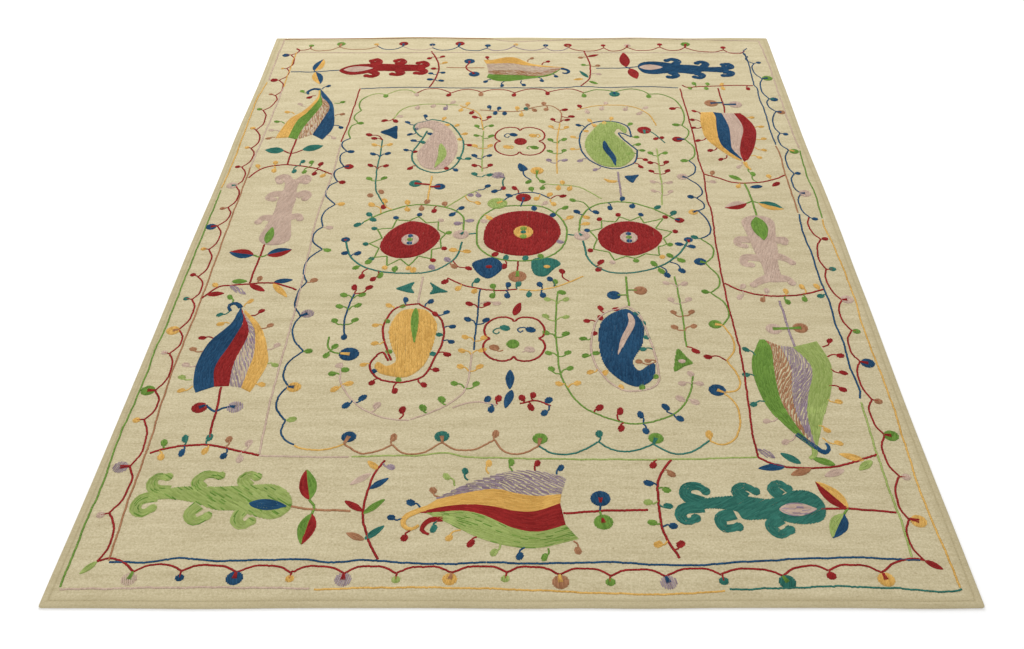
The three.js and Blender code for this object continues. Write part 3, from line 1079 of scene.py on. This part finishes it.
# Paisleys: a body with a slit, a ring line round it and buds outside and inside.
PAISLEYS = [
    dict(
        wool="Y", lean=95,
        body="""-250,-300 -285,-308 -308,-370 -295,-430 -280,-475 -300,-491 -322,-478 -328,-490 -318,-510
            -290,-522 -250,-525 -215,-490 -195,-400 -195,-350 -225,-305""",
        slit="G 19: -250,-298 -248,-350 -243,-416",
        ring="""R: -245,-280 -298,-297 -320,-340 -323,-370 -310,-425 -292,-474
            R: -298,-475 -316,-447 -340,-485 -320,-525 -265,-542 -213,-522 -192,-470 -176,-410
                -183,-340 -245,-280
            M: -243,-180 -246,-280""",
        buds="""B -278,-267; B -215,-273; B -173,-312; B -155,-362; B -155,-413; R -162,-454; R -185,-503
            R -209,-549; R -273,-567; R -328,-543; Y -318,-288; Y -343,-357; Y -337,-418; Y -355,-487
            G -283,-290; R -201,-318; G -316,-343; T -186,-389; T -196,-452; B -327,-507; G -268,-534
            G -300,-445""",
        shields=[
            ("T", "-", "-306,-226 -285,-212 -262,-201 -268,-222 -260,-242 -285,-237"),
            ("T", "-", "-176,-238 -198,-222 -222,-203 -214,-225 -219,-246 -198,-242"),
        ],
    ),
    dict(
        wool="B", lean=85,
        body="""265,-300 210,-340 197,-430 215,-505 275,-555 315,-530 321,-480 285,-505 273,-480 300,-420
            307,-350 280,-305""",
        slit="M 16: 275,-315 281,-345 255,-410 240,-455",
        ring="""M: 275,-290 210,-320 180,-400 190,-500 250,-567 320,-550 330,-500 318,-400 300,-320 275,-290
            G: 278,-180 278,-290""",
        buds="""R 207,-297; R 171,-342; R 205,-331; R 188,-385; R 245,-300; T 294,-316; T 309,-350
            T 312,-398
            T 300,-437; N 287,-477; N 308,-475; G 322,-524; G 288,-557; G 160,-402; G 163,-458; G 188,-450
            Y 172,-510; Y 206,-512; Y 240,-556""",
        blooms="B B 243,-250 16 G; N N 311,-233 16 G",
    ),
    dict(
        wool="M", lean=92,
        body="""-300,555 -250,545 -200,470 -190,370 -225,295 -280,300 -308,370 -285,440 -270,500 -300,515
            -320,500 -325,535""",
        slit="L 25: -240,425 -232,360 -250,300",
        ring="""T: -287,497 -300,450 -323,360 -300,305 -245,275 -197,300 -170,400 -185,475 -225,540 -275,563
            T: -275,563 -330,530 -315,478 -300,462
            Y: -255,260 -257,140""",
        buds="""B -300,582; B -353,545; B -340,477; B -322,507; B -277,480; B -325,443; T -295,433
            B -343,392
            R -316,383; T -153,346; T -180,348; R -152,418; R -215,297; B -187,289; R -322,297; Y -240,568
            Y -228,530; Y -197,528; Y -170,480; Y -183,450""",
        blooms="T R -299,222 17; B R -228,207 15",
    ),
    dict(
        wool="L", lean=88,
        body="""260,545 225,500 200,440 203,380 240,315 300,305 343,360 340,395 310,450 292,485 305,508
            325,482 330,510 300,543""",
        slit="B 20: 258,440 262,400 280,350 284,310",
        ring="""B: 343,463 333,525 280,550 225,540 187,480 187,390 220,325 280,295 340,325 355,390
            B: 355,390 320,447 305,485 320,480 343,463
            V: 289,280 290,160""",
        buds="""B 182,528; Y 218,555; Y 288,567; Y 263,540; Y 233,525; Y 205,495; Y 163,463; Y 160,397
            G 345,535; G 358,462; G 360,422; G 370,390; R 375,341; R 358,305; V 180,335; V 223,290
            G 328,372""",
        shields=[
            ("B", "-", "348,264 328,262 308,258 312,243 328,225 338,244"),
            ("Y", "-", "246,246 262,240 284,234 276,226 258,228"),
        ],
    ),
]


def sew_paisleys():
    for part in PAISLEYS:
        fill(part["wool"], part["body"], part["lean"])
        name, path = part["slit"].split(":")
        wool, wide = name.split()
        ribbon(wool, path, float(wide), lift=OVER)
        chain_rows(part["ring"])
        buds(part["buds"], r=SMALL_BUD)
        for flower in part.get("shields", []):
            shield(*flower)
        blooms(part.get("blooms", ""))


def shield(wool, heart, outline, lean=90):
    """A broad flower filled with one wool, with a heart unless it is "-"."""
    fill(wool, outline, lean)
    if heart != "-":
        x, y = spots(outline).mean(axis=0)
        disc(heart, x, y, 8, 6, lift=OVER)


LOBE_ROUNDNESS = 0.6
COMMA_HEAD = (13, 9, -20)  # length, width and lean


def quatrefoil(x, y, notch, lobe):
    """Four round lobes on the diagonals with sharp notches between them."""
    turn = np.linspace(0, 2 * np.pi, 73)
    reach = notch + (lobe - notch) * np.abs(np.sin(2 * turn)) ** LOBE_ROUNDNESS
    chain("R", np.stack([x + reach * np.cos(turn), y + reach * np.sin(turn)], 1))


def comma(colour, head, curl):
    """A round head with a curled tail."""
    x, y = spots(head)[0]
    oval(colour, x, y, *COMMA_HEAD)
    chain(colour, curl, width=STEM_WIDTH, carries=False)


def sew_quatrefoils():
    quatrefoil(0, 440, 58, 88)
    disc("R", 2, 438, 19)
    comma("B", "-20,475", "-20,475 -40,480 -48,468 -38,460 -32,468")
    comma("Y", "40,470", "40,470 56,478 62,466 54,458")
    comma("G", "45,405", "45,405 28,412 22,402 30,396")
    comma("Y", "-38,408", "-38,408 -24,400 -20,410 -28,416")
    quatrefoil(-5, -402, 58, 84)
    disc("G", -8, -420, 15)
    comma("T", "-28,-366", "-28,-366 -50,-368 -56,-380 -46,-386 -42,-378")
    comma("B", "34,-372", "34,-372 12,-364 2,-372 10,-382 16,-374")
    comma("N", "-52,-432", "-52,-432 -42,-444 -30,-440")
    comma("M", "32,-438", "32,-438 14,-446")
    leaves("R 8,-278 -6,-322; B -13,-562 -13,-503; B -22,-618 -8,-565", wide=20)


# Vines of the field. Leaf pairs stand on both sides of a vine at the listed heights.
PAIR_REACH = 23
PAIR_RISE = 13
PAIR_BUD = 8.0


def leaf_pairs(text):
    """Pairs written "colour x,y": two buds spread upwards from that place of the vine."""
    for colour, place in rows_of(text):
        x, y = spots(place)[0]
        for hand in (-1, 1):
            foot = np.array([x, y - 4 + chance.uniform(-3, 3)])
            out = hand * PAIR_REACH * chance.uniform(0.9, 1.1)
            up = PAIR_RISE * chance.uniform(0.6, 1.1)
            bud(colour, x + out, y + up, PAIR_BUD, foot)


def sew_field_vines():
    chain_rows("""
        B: -410,-245 -421,-340 -413,-388
        B: -94,-228 -98,-370 -101,-440
        M: -104,-450 -115,-565 -160,-615 -230,-650
        M: -405,-480 -400,-540 -350,-610 -290,-645 -232,-652
        R: -180,-185 -130,-215 -60,-232 0,-228
        Y: 5,-229 50,-232 100,-218 170,-180
        G: 103,-235 95,-340 97,-440 107,-530 140,-600 190,-640 270,-662 350,-635 390,-585 408,-522
        G: 403,-180 407,-300 404,-430
        T: -420,445 -418,350 -418,275 -408,190 -378,120
        L: -400,565 -375,625 -300,652 -200,645
        Y: -195,643 -135,600 -113,500
        L: -113,495 -112,400 -110,280
        N: -130,617 -50,608 0,610 50,635 100,640 130,600 125,545
        Y: 124,540 115,450 112,350 110,270
        Y: 180,620 250,643 350,640 405,595 425,525
        L: 415,400 413,340 412,280 410,200 402,120
        R: 0,-118 0,-158
        B: 5,113 13,140
        T: -42,250 -47,228 -45,205
        L: 80,220 170,205 235,150
        B: 10,296 16,262 34,238
        G: 52,278 50,258 58,240
        L: -118,190 -140,175 -165,150 -205,110
        B: -45,138 -20,165 20,180 60,172 90,150
        M: -140,-617 -90,-600 -40,-608
        R: 10,-605 45,-596 80,-612
        G: -448,-395 -447,-430 -432,-446 -414,-451
        T: 393,500 410,485 443,430
        """, width=THIN_CHAIN)
    leaf_pairs("""G -411,-258; G -416,-301; G -420,-350; R -96,-292; B -98,-351; Y -99,-409; Y -104,-450
        Y -108,-504; G -115,-555; L 101,-277; L 96,-337; G 95,-395; G 98,-458; G 105,-510; Y 120,-555
        M 404,-217; M 406,-277; N 407,-323; N 405,-373; Y -420,409; B -418,360; R -418,298; G -414,238
        R -122,561; G -114,512; G -113,460; Y -112,405; B -112,351; R -111,302; T -110,256; R 125,550
        Y 121,508; G 115,435; G 113,375; V 111,328; G 414,365; R 413,316; R 412,272; M 411,217
        M 408,172""")
    buds("""B -413,-397; R -413,-222; R -375,-222; R -400,-180; R -370,-190; M -411,-489; G -423,-515
        G -395,-503; Y -410,-562; Y -380,-545; B -377,-610; B -343,-588; M -308,-610; R -250,-623
        G -165,-593; G -205,-617; T -103,-195; Y -150,-225; Y -108,-235; G -62,-216; G -62,-252; B -23,-211
        B -25,-252; T 3,-208; T 30,-248; B 57,-210; B 65,-250; G 97,-200; G 113,-240; M -50,-280
        R -185,-200
        B -62,-592; B -53,-622; R -38,-590; R 40,-580; R 15,-588; R 35,-616; B 75,-595; B 65,-632
        R 188,-617; R 233,-627; R 232,-675; B 277,-637; B 285,-682; B 335,-615; B 363,-648; M 380,-545
        M 420,-545; M 370,-590; M 402,-600; R 424,-443; R 450,-462; M 403,-515; R -378,112
        R -465,475; G -430,-428; G -446,-457
        R -447,455; R -427,555; R -392,552; M -380,580; M -330,630; M -280,640; M -217,664; V -240,625
        Y -170,655; Y -190,615; R -155,600; B -100,635; B -80,598; B -68,627; B -50,596; T 18,623; N 23,645
        N 45,615; N 75,655; N 82,620; R 142,618; R 162,578; Y -10,628; Y 3,588; M 213,605; M 275,658
        M 260,625; M 335,620; M 378,595; M 402,630; R 190,640; R 417,453; R 435,458; R -127,-148; R -35,-140
        R 115,-160; B 83,-190; R -45,200; R -13,200; B -90,210; B -70,185; B -28,165; V -115,165; V -138,168
        Y -115,130; G 27,230; G 35,197; G 67,232; G 67,200; Y 125,228; Y 113,200; Y 145,197; Y 88,170
        Y 50,150; R 125,162; G 152,143; G 130,108; Y 98,125; M 75,130""", r=8.5)
    blooms("""R B 13,155 20; L Y -60,128 26; v V -62,262 17; N G 0,-180 22; B Y -393,-453 22
        R T 385,500 20; Y G 52,285 18""")
    shield("B", "R", "-118,-128 -85,-108 -60,-106 -38,-138 -45,-160 -75,-188 -102,-168")
    shield("T", "Y", "40,-112 95,-110 112,-130 95,-150 70,-180 44,-172")
    shield("G", "M", "383,-435 400,-462 412,-482 392,-492 367,-508 370,-480")
    shield("B", "-", "-385,525 -408,508 -432,490 -404,470 -378,452 -380,490", 0)
    shield("B", "-", "0,322 18,306 24,290 6,281 -4,300")


# Making the meshes.
CHAIN_FORM = [(0.2, 0.95, 0.9), (0.78, 0.95, 1.0)]
YARN_FORM = [(0.06, 0.9, 0.8), (0.5, 1.0, 1.0), (0.94, 0.9, 0.8)]
CHAIN_HIGH = 1.35
YARN_HIGH = 0.95
SUNK = 0.35  # how far a stitch's underside lies inside the cloth
TIP_SUNK = 0.05
TIP_LIFT = 0.6  # how much of its lift a stitch keeps at its ends


def new_piece(name, points, faces, material):
    mesh = bpy.data.meshes.new(name)
    mesh.from_pydata(points * MM, [], faces)
    mesh.shade_smooth()
    mesh.materials.append(material)
    piece = bpy.data.objects.new(name, mesh)
    bpy.context.collection.objects.link(piece)
    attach(piece, "root")
    return piece


def point_values(piece, name, values):
    layer = piece.data.attributes.new(name, "FLOAT", "POINT")
    layer.data.foreach_set("value", np.asarray(values, np.float32))


def stitch_form(rows, form, high):
    """Points, faces, strand coordinates and shade of closed, soft-ended stitches."""
    start, middle, end = rows[:, 0:2], rows[:, 2:4], rows[:, 4:6]
    width, lift = rows[:, 6:7], rows[:, 7]
    length = np.linalg.norm(middle - start, axis=1) + np.linalg.norm(end - middle, axis=1)

    def ring_points(t, wide, tall):
        centre = (1 - t) * (1 - 2 * t) * start + 4 * t * (1 - t) * middle + t * (2 * t - 1) * end
        ahead = (4 * t - 3) * start + 4 * (1 - 2 * t) * middle + (4 * t - 1) * end
        ahead /= np.linalg.norm(ahead, axis=1, keepdims=True) + TINY
        side = np.stack([-ahead[:, 1], ahead[:, 0]], axis=1) * width * wide / 2
        ground = face_height(centre[:, 0], centre[:, 1]) + lift
        places = [centre + side, centre, centre - side, centre]
        heights = [ground, ground + high * tall, ground, ground - SUNK - lift]
        return [np.column_stack([p - MIDDLE, z]) for p, z in zip(places, heights)]

    def tip_point(p):
        ground = face_height(p[:, 0], p[:, 1]) + lift * TIP_LIFT
        return np.column_stack([p - MIDDLE, ground - TIP_SUNK])

    rings = [ring_points(*station) for station in form]
    layers = [tip_point(start), *[p for ring in rings for p in ring], tip_point(end)]
    points = np.stack(layers, axis=1)
    tall = points.shape[1]
    along = [0.0] + [t for t, _, _ in form for _ in range(4)] + [1.0]
    across = [0.5] + [0.0, 0.5, 1.0, 0.5] * len(form) + [0.5]
    strand = np.stack([length[:, None] * along, np.tile(across, (len(rows), 1))], axis=2)

    faces = []
    for k in range(4):
        n = (k + 1) % 4
        faces.append((0, 1 + n, 1 + k))
        for r in range(len(form) - 1):
            a, b = 1 + 4 * r, 5 + 4 * r
            faces += [(a + k, a + n, b + n), (a + k, b + n, b + k)]
        last = 1 + 4 * (len(form) - 1)
        faces.append((tall - 1, last + k, last + n))
    faces = np.array(faces)[None] + (np.arange(len(rows)) * tall)[:, None, None]
    shade = np.repeat(chance.random(len(rows)), tall)
    return points.reshape(-1, 3), faces.reshape(-1, 3), strand.reshape(-1, 2), shade


def stitch_piece(name, rows, form, high, material):
    points, faces, strand, shade = stitch_form(np.vstack(rows), form, high)
    piece = new_piece(name, points, faces, material)
    layer = piece.data.uv_layers.new(name="strand")
    layer.data.foreach_set("uv", strand[faces.ravel()].astype(np.float32).ravel())
    point_values(piece, "shade", shade)
    return piece


# The cloth.
CELLS_ACROSS = 158
CELLS_ALONG = 198
FOLD_LINE = 0.4
PAINTED_SHADE_INWARD = [0, 11, 14, 16.5, 20, 20.5]
HEM_PAINTED_SHADE = [1.0, 0.8, 1.9, 0.9, 0.7, 0.0]  # painted shade: how much darker the turned side is painted, most in its sewn groove


def cloth_lines(half, cells):
    """Grid lines across one direction: close together over the turned side, then even."""
    inwards = np.array([0.0, FOLD_LINE, *HEM_INWARD])
    inner = half - inwards[-1]
    even = np.linspace(-inner, inner, cells + 1)[1:-1]
    return np.concatenate([inwards - half, even, (half - inwards)[::-1]])


def make_cloth(material):
    """One closed sheet: the face, the back and the rounded fold that joins them."""
    xs, ys = cloth_lines(HALF_WIDTH, CELLS_ACROSS), cloth_lines(HALF_LENGTH, CELLS_ALONG)
    flat_x, flat_y = (grid.ravel() for grid in np.meshgrid(xs, ys))
    inward = inward_of(flat_x, flat_y)
    shift_x, shift_y = stray(flat_x, flat_y)
    corner_x, corner_y = rounded_corner(flat_x, flat_y)
    place = np.stack([corner_x + shift_x, corner_y + shift_y], 1) - MIDDLE
    reach = HEM_INWARD[0]
    turned = np.sqrt(1 - np.clip((reach - inward) / reach, 0, 1) ** 2)
    face_z = np.where(inward > 0, top_height(flat_x, flat_y), THICKNESS + HEM_RISE[0])
    face_z = FOLD_HEIGHT + (face_z - FOLD_HEIGHT) * turned
    back_z = FOLD_HEIGHT * (1 - turned) + back_height(flat_x, flat_y)

    columns, count = len(xs), len(flat_x)
    corner = (np.arange(len(ys) - 1)[:, None] * columns + np.arange(columns - 1)).ravel()
    quads = np.stack([corner, corner + 1, corner + columns + 1, corner + columns], 1)
    on_rim = inward <= 0
    back_index = np.where(on_rim, np.arange(count), count + np.cumsum(~on_rim) - 1)
    points = np.vstack([np.column_stack([place, face_z]), np.column_stack([place, back_z])[~on_rim]])
    faces = np.vstack([quads, back_index[quads[:, ::-1]]])
    piece = new_piece("woven_cloth", points, faces, material)

    # Painted shade of the turned side, darkest in the sewn groove, kept in the hem attribute.
    hem = np.interp(inward, PAINTED_SHADE_INWARD, HEM_PAINTED_SHADE)
    point_values(piece, "hem", np.concatenate([hem, hem[~on_rim]]))
    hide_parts("rug_cloth")
    return piece


HEM_STITCH_PITCH = 9.0
HEM_STITCH_WIDTH = 1.5
HEM_STITCH_HIGH = 0.7


def sew_hem(material):
    """A row of small stitches along the groove of the turned side."""
    reach_x, reach_y = HALF_WIDTH - SEWN_GROOVE, HALF_LENGTH - SEWN_GROOVE
    corners = spots([(-reach_x, -reach_y), (reach_x, -reach_y), (reach_x, reach_y), (-reach_x, reach_y)])
    bag = {"hem": []}
    for a, b in zip(corners, np.roll(corners, -1, axis=0)):
        count = round(np.linalg.norm(b - a) / HEM_STITCH_PITCH)
        share = (np.arange(count)[:, None] + 0.25 + chance.normal(0, 0.03, (count, 1))) / count
        reach = 0.5 / count
        rows = []
        for s in (share, share + reach / 2, share + reach):
            p = a + (b - a) * s
            rows.append(p + np.stack(stray(p[:, 0], p[:, 1]), 1))
        sew(bag, "hem", *rows, HEM_STITCH_WIDTH, 0.0)
    rows = bag["hem"]
    return stitch_piece("hem_stitches", rows, CHAIN_FORM, HEM_STITCH_HIGH, material)


# Finishes.
def new_finish(name):
    material = bpy.data.materials.new(name)
    material.use_nodes = True
    nodes, links = material.node_tree.nodes, material.node_tree.links
    shader = nodes["Principled BSDF"]
    shader.inputs["Roughness"].default_value = 0.92
    shader.inputs["Specular IOR Level"].default_value = 0.08
    shader.inputs["Sheen Weight"].default_value = 0.02
    shader.inputs["Sheen Roughness"].default_value = 0.5
    return material, nodes, links, shader


def add(nodes, kind, **values):
    node = nodes.new(kind)
    for name, value in values.items():
        if name in node.inputs:
            node.inputs[name].default_value = value
        else:
            setattr(node, name, value)
    return node


def stretched(nodes, links, source, scale):
    """Coordinates scaled for a pattern that runs one way."""
    mapping = add(nodes, "ShaderNodeMapping", Scale=scale)
    links.new(source, mapping.inputs["Vector"])
    return mapping.outputs["Vector"]


def noise(nodes, links, vector, scale, detail=2.0, rough=0.5):
    node = add(nodes, "ShaderNodeTexNoise", Scale=scale, Detail=detail, Roughness=rough)
    links.new(vector, node.inputs["Vector"])
    return node.outputs["Fac"]


def between(nodes, links, value, low, high):
    """A value brought from low..high to 0..1."""
    node = add(nodes, "ShaderNodeMapRange")
    node.inputs["From Min"].default_value = low
    node.inputs["From Max"].default_value = high
    links.new(value, node.inputs["Value"])
    return node.outputs["Result"]


def maths(nodes, links, operation, a, b):
    node = add(nodes, "ShaderNodeMath", operation=operation)
    for socket, value in zip(node.inputs, (a, b)):
        if isinstance(value, (int, float)):
            socket.default_value = value
        else:
            links.new(value, socket)
    return node.outputs["Value"]


def summed(nodes, links, parts):
    """The sum of values, each taken by its share."""
    total = None
    for value, share in parts:
        part = maths(nodes, links, "MULTIPLY", value, share)
        total = part if total is None else maths(nodes, links, "ADD", total, part)
    return total


def blended(nodes, links, share, a, b, blend="MIX"):
    """Colour a turning to colour b by share; each is a colour or a socket."""
    node = nodes.new("ShaderNodeMix")
    node.data_type, node.blend_type = "RGBA", blend
    for socket, value in ((node.inputs[0], share), (node.inputs[6], a), (node.inputs[7], b)):
        if isinstance(value, (int, float)):
            socket.default_value = value
        elif isinstance(value, tuple):
            socket.default_value = (*value, 1.0)
        else:
            links.new(value, socket)
    return node.outputs[2]


def bumped(nodes, links, shader, height, distance, strength):
    """Leads a height into the shader's normal."""
    bump = add(nodes, "ShaderNodeBump", Strength=strength, Distance=distance)
    links.new(height, bump.inputs["Height"])
    links.new(bump.outputs["Normal"], shader.inputs["Normal"])


def wool_finish(name, dark, light):
    """Hand-dyed wool yarn: uneven tint from stitch to stitch, plies with painted shade in their grooves,
    and loose fibres.
    """
    material, nodes, links, shader = new_finish(name)
    place = add(nodes, "ShaderNodeTexCoord")
    shade = add(nodes, "ShaderNodeAttribute", attribute_name="shade").outputs["Fac"]
    faded = noise(nodes, links, place.outputs["Object"], 9.0)
    fibre = noise(nodes, links, place.outputs["Object"], 1400.0, 3.0, 0.7)
    tint = summed(nodes, links, [(shade, 0.7), (faded, 1.0), (fibre, 0.5)])
    tint = between(nodes, links, tint, 0.5, 1.5)
    twist = add(nodes, "ShaderNodeTexWave", Scale=0.32, Distortion=1.2, Detail=1.0)
    twist.bands_direction = "DIAGONAL"
    links.new(stretched(nodes, links, place.outputs["UV"], (1.0, 2.6, 1.0)), twist.inputs["Vector"])
    colour = blended(nodes, links, tint, dark, light)
    # Painted shade: the colour is darkened in the twist's grooves between plies.
    painted_ply_shade = between(nodes, links, twist.outputs["Fac"], -0.6, 1.0)
    colour = blended(nodes, links, 0.35, colour, painted_ply_shade, "MULTIPLY")
    links.new(colour, shader.inputs["Base Color"])
    height = summed(nodes, links, [(twist.outputs["Fac"], 1.0), (fibre, 0.8)])
    bumped(nodes, links, shader, height, 0.00035, 0.7)
    return material


CREAM_DARK = (0.405, 0.338, 0.192)
CREAM_LIGHT = (0.665, 0.585, 0.390)
FLECK = (0.260, 0.175, 0.090)

# The cloth's patterns: scale along x, y and z, detail and roughness.
SLUB = ((8.0, 260.0, 8.0), 3.0, 0.6)
RIB = ((24.0, 560.0, 24.0), 2.0, 0.6)
MOTTLE = ((6.0, 44.0, 9.0), 3.0, 0.6)
FIBRE = ((230.0, 270.0, 250.0), 4.0, 0.8)
FLECKING = ((120.0, 330.0, 200.0), 1.0, 0.5)


def grain(nodes, links, place, pattern):
    scale, detail, rough = pattern
    return noise(nodes, links, stretched(nodes, links, place, scale), 1.0, detail, rough)


def cloth_finish():
    """Undyed flat-woven wool: ribs across the rug, darker slubs, flecks and mottling, with painted shade
    along the turned side and its sewn groove.
    """
    material, nodes, links, shader = new_finish("undyed flat-woven wool")
    place = add(nodes, "ShaderNodeTexCoord").outputs["Object"]
    slub = grain(nodes, links, place, SLUB)
    rib = grain(nodes, links, place, RIB)
    mottle = grain(nodes, links, place, MOTTLE)
    fibre = grain(nodes, links, place, FIBRE)
    flecks = grain(nodes, links, place, FLECKING)
    # The hem attribute carries the turned side's painted shade.
    hem = add(nodes, "ShaderNodeAttribute", attribute_name="hem").outputs["Fac"]
    tone = summed(nodes, links, [(slub, 0.3), (rib, 0.3), (mottle, 0.75), (fibre, 1.8)])
    colour = blended(nodes, links, between(nodes, links, tone, 1.16, 1.98), CREAM_DARK, CREAM_LIGHT)
    line = maths(nodes, links, "MULTIPLY", between(nodes, links, slub, 0.33, 0.24), 0.3)
    colour = blended(nodes, links, line, colour, FLECK)
    spot = maths(nodes, links, "MULTIPLY", between(nodes, links, flecks, 0.70, 0.78), 0.5)
    colour = blended(nodes, links, spot, colour, FLECK)
    # Painted shade: the turned side is darkened towards the dark cream, most in its sewn groove.
    colour = blended(nodes, links, maths(nodes, links, "MULTIPLY", hem, 0.48), colour, CREAM_DARK)
    links.new(colour, shader.inputs["Base Color"])

    weft = add(nodes, "ShaderNodeTexWave", Scale=1.0, Distortion=1.5, Detail=2.0)
    weft.bands_direction = "Y"
    links.new(stretched(nodes, links, place, (4.0, 145.0, 4.0)), weft.inputs["Vector"])
    warp = add(nodes, "ShaderNodeTexWave", Scale=1.0, Distortion=0.8, Detail=1.0)
    warp.bands_direction = "X"
    links.new(stretched(nodes, links, place, (95.0, 6.0, 4.0)), warp.inputs["Vector"])
    weft, warp = weft.outputs["Fac"], warp.outputs["Fac"]
    height = summed(nodes, links, [(weft, 1.0), (slub, 2.2), (warp, 0.45), (fibre, 0.7)])
    bumped(nodes, links, shader, height, 0.0004, 0.8)
    return material


def floor_finish():
    material, nodes, links, shader = new_finish("pale studio floor")
    shader.inputs["Base Color"].default_value = (0.97, 0.97, 0.97, 1.0)
    shader.inputs["Sheen Weight"].default_value = 0.0
    return material


# The studio: camera, lights and floor.
CAMERA_HEIGHT = 1.544
CAMERA_BACK = -1.901
CAMERA_RIGHT = 0.0387
CAMERA_DOWN = 44.893
LENS = 31.581
SENSOR = 36.0
SHIFT_X = -0.02003
FLOOR_HEIGHT = -0.0002  # a hair below the rug's underside
FLOOR_SIZE = 30
SKY_STRENGTH = 0.83


def make_camera():
    lens = bpy.data.cameras.new("view_from_the_near_side")
    lens.lens, lens.sensor_width, lens.shift_x = LENS, SENSOR, SHIFT_X
    camera = bpy.data.objects.new("view_from_the_near_side", lens)
    bpy.context.collection.objects.link(camera)
    shift_x, shift_y = MIDDLE * MM
    camera.location = (CAMERA_RIGHT - shift_x, CAMERA_BACK - shift_y, CAMERA_HEIGHT)
    camera.rotation_euler = (math.radians(90 - CAMERA_DOWN), 0, 0)
    bpy.context.scene.camera = camera


def soft_light(name, place, aim, size, power):
    lamp = bpy.data.lights.new(name, "AREA")
    lamp.shape, lamp.size, lamp.energy = "DISK", size, power
    light = bpy.data.objects.new(name, lamp)
    bpy.context.collection.objects.link(light)
    light.location = place
    back = np.array(place, float) - np.array(aim, float)
    flat = math.hypot(back[0], back[1])
    light.rotation_euler = (math.atan2(flat, back[2]), 0, math.atan2(back[0], -back[1]))


def make_studio():
    world = bpy.context.scene.world or bpy.data.worlds.new("studio")
    bpy.context.scene.world = world
    world.use_nodes = True
    sky = world.node_tree.nodes["Background"]
    sky.inputs["Color"].default_value = (1.0, 1.0, 1.0, 1.0)
    sky.inputs["Strength"].default_value = SKY_STRENGTH
    soft_light("far_window", place=(-0.4, 2.6, 2.4), aim=(0, 0.2, 0), size=2.6, power=68.0)
    soft_light("near_fill", place=(-1.6, -2.2, 2.6), aim=(0, -0.3, 0), size=2.4, power=14.0)
    bpy.context.scene.view_settings.view_transform = "Standard"
    bpy.ops.object.select_all(action="DESELECT")
    bpy.ops.mesh.primitive_plane_add(size=FLOOR_SIZE, location=(0, 0, FLOOR_HEIGHT))
    floor = bpy.context.object
    floor.name = "floor"
    floor.data.materials.append(floor_finish())


make_camera()
make_studio()

sew_outer_line()
sew_scalloped_vine()
sew_panel_lines()
sew_field_vine()
sew_dividing_vines()
sew_upright_vines()
sew_scrolled_leaves()
sew_striped_leaves()
sew_rosettes()
sew_paisleys()
sew_quatrefoils()
sew_field_vines()

cream_wool = cloth_finish()
cloth = make_cloth(cream_wool)
embroidery = [sew_hem(wool_finish("cream sewing wool", CREAM_DARK, CREAM_LIGHT))]
for letter, (wool, wool_slot, dark, light) in WOOLS.items():
    finish = wool_finish(wool.replace("_", " ") + " wool yarn", dark, light)
    for kind, bag, form, high in (
        ("chain_stitch", chains, CHAIN_FORM, CHAIN_HIGH),
        ("laid_yarn", fillings, YARN_FORM, YARN_HIGH),
    ):
        rows = bag[letter]
        embroidery.append(stitch_piece(f"{wool}_{kind}", rows, form, high, finish))
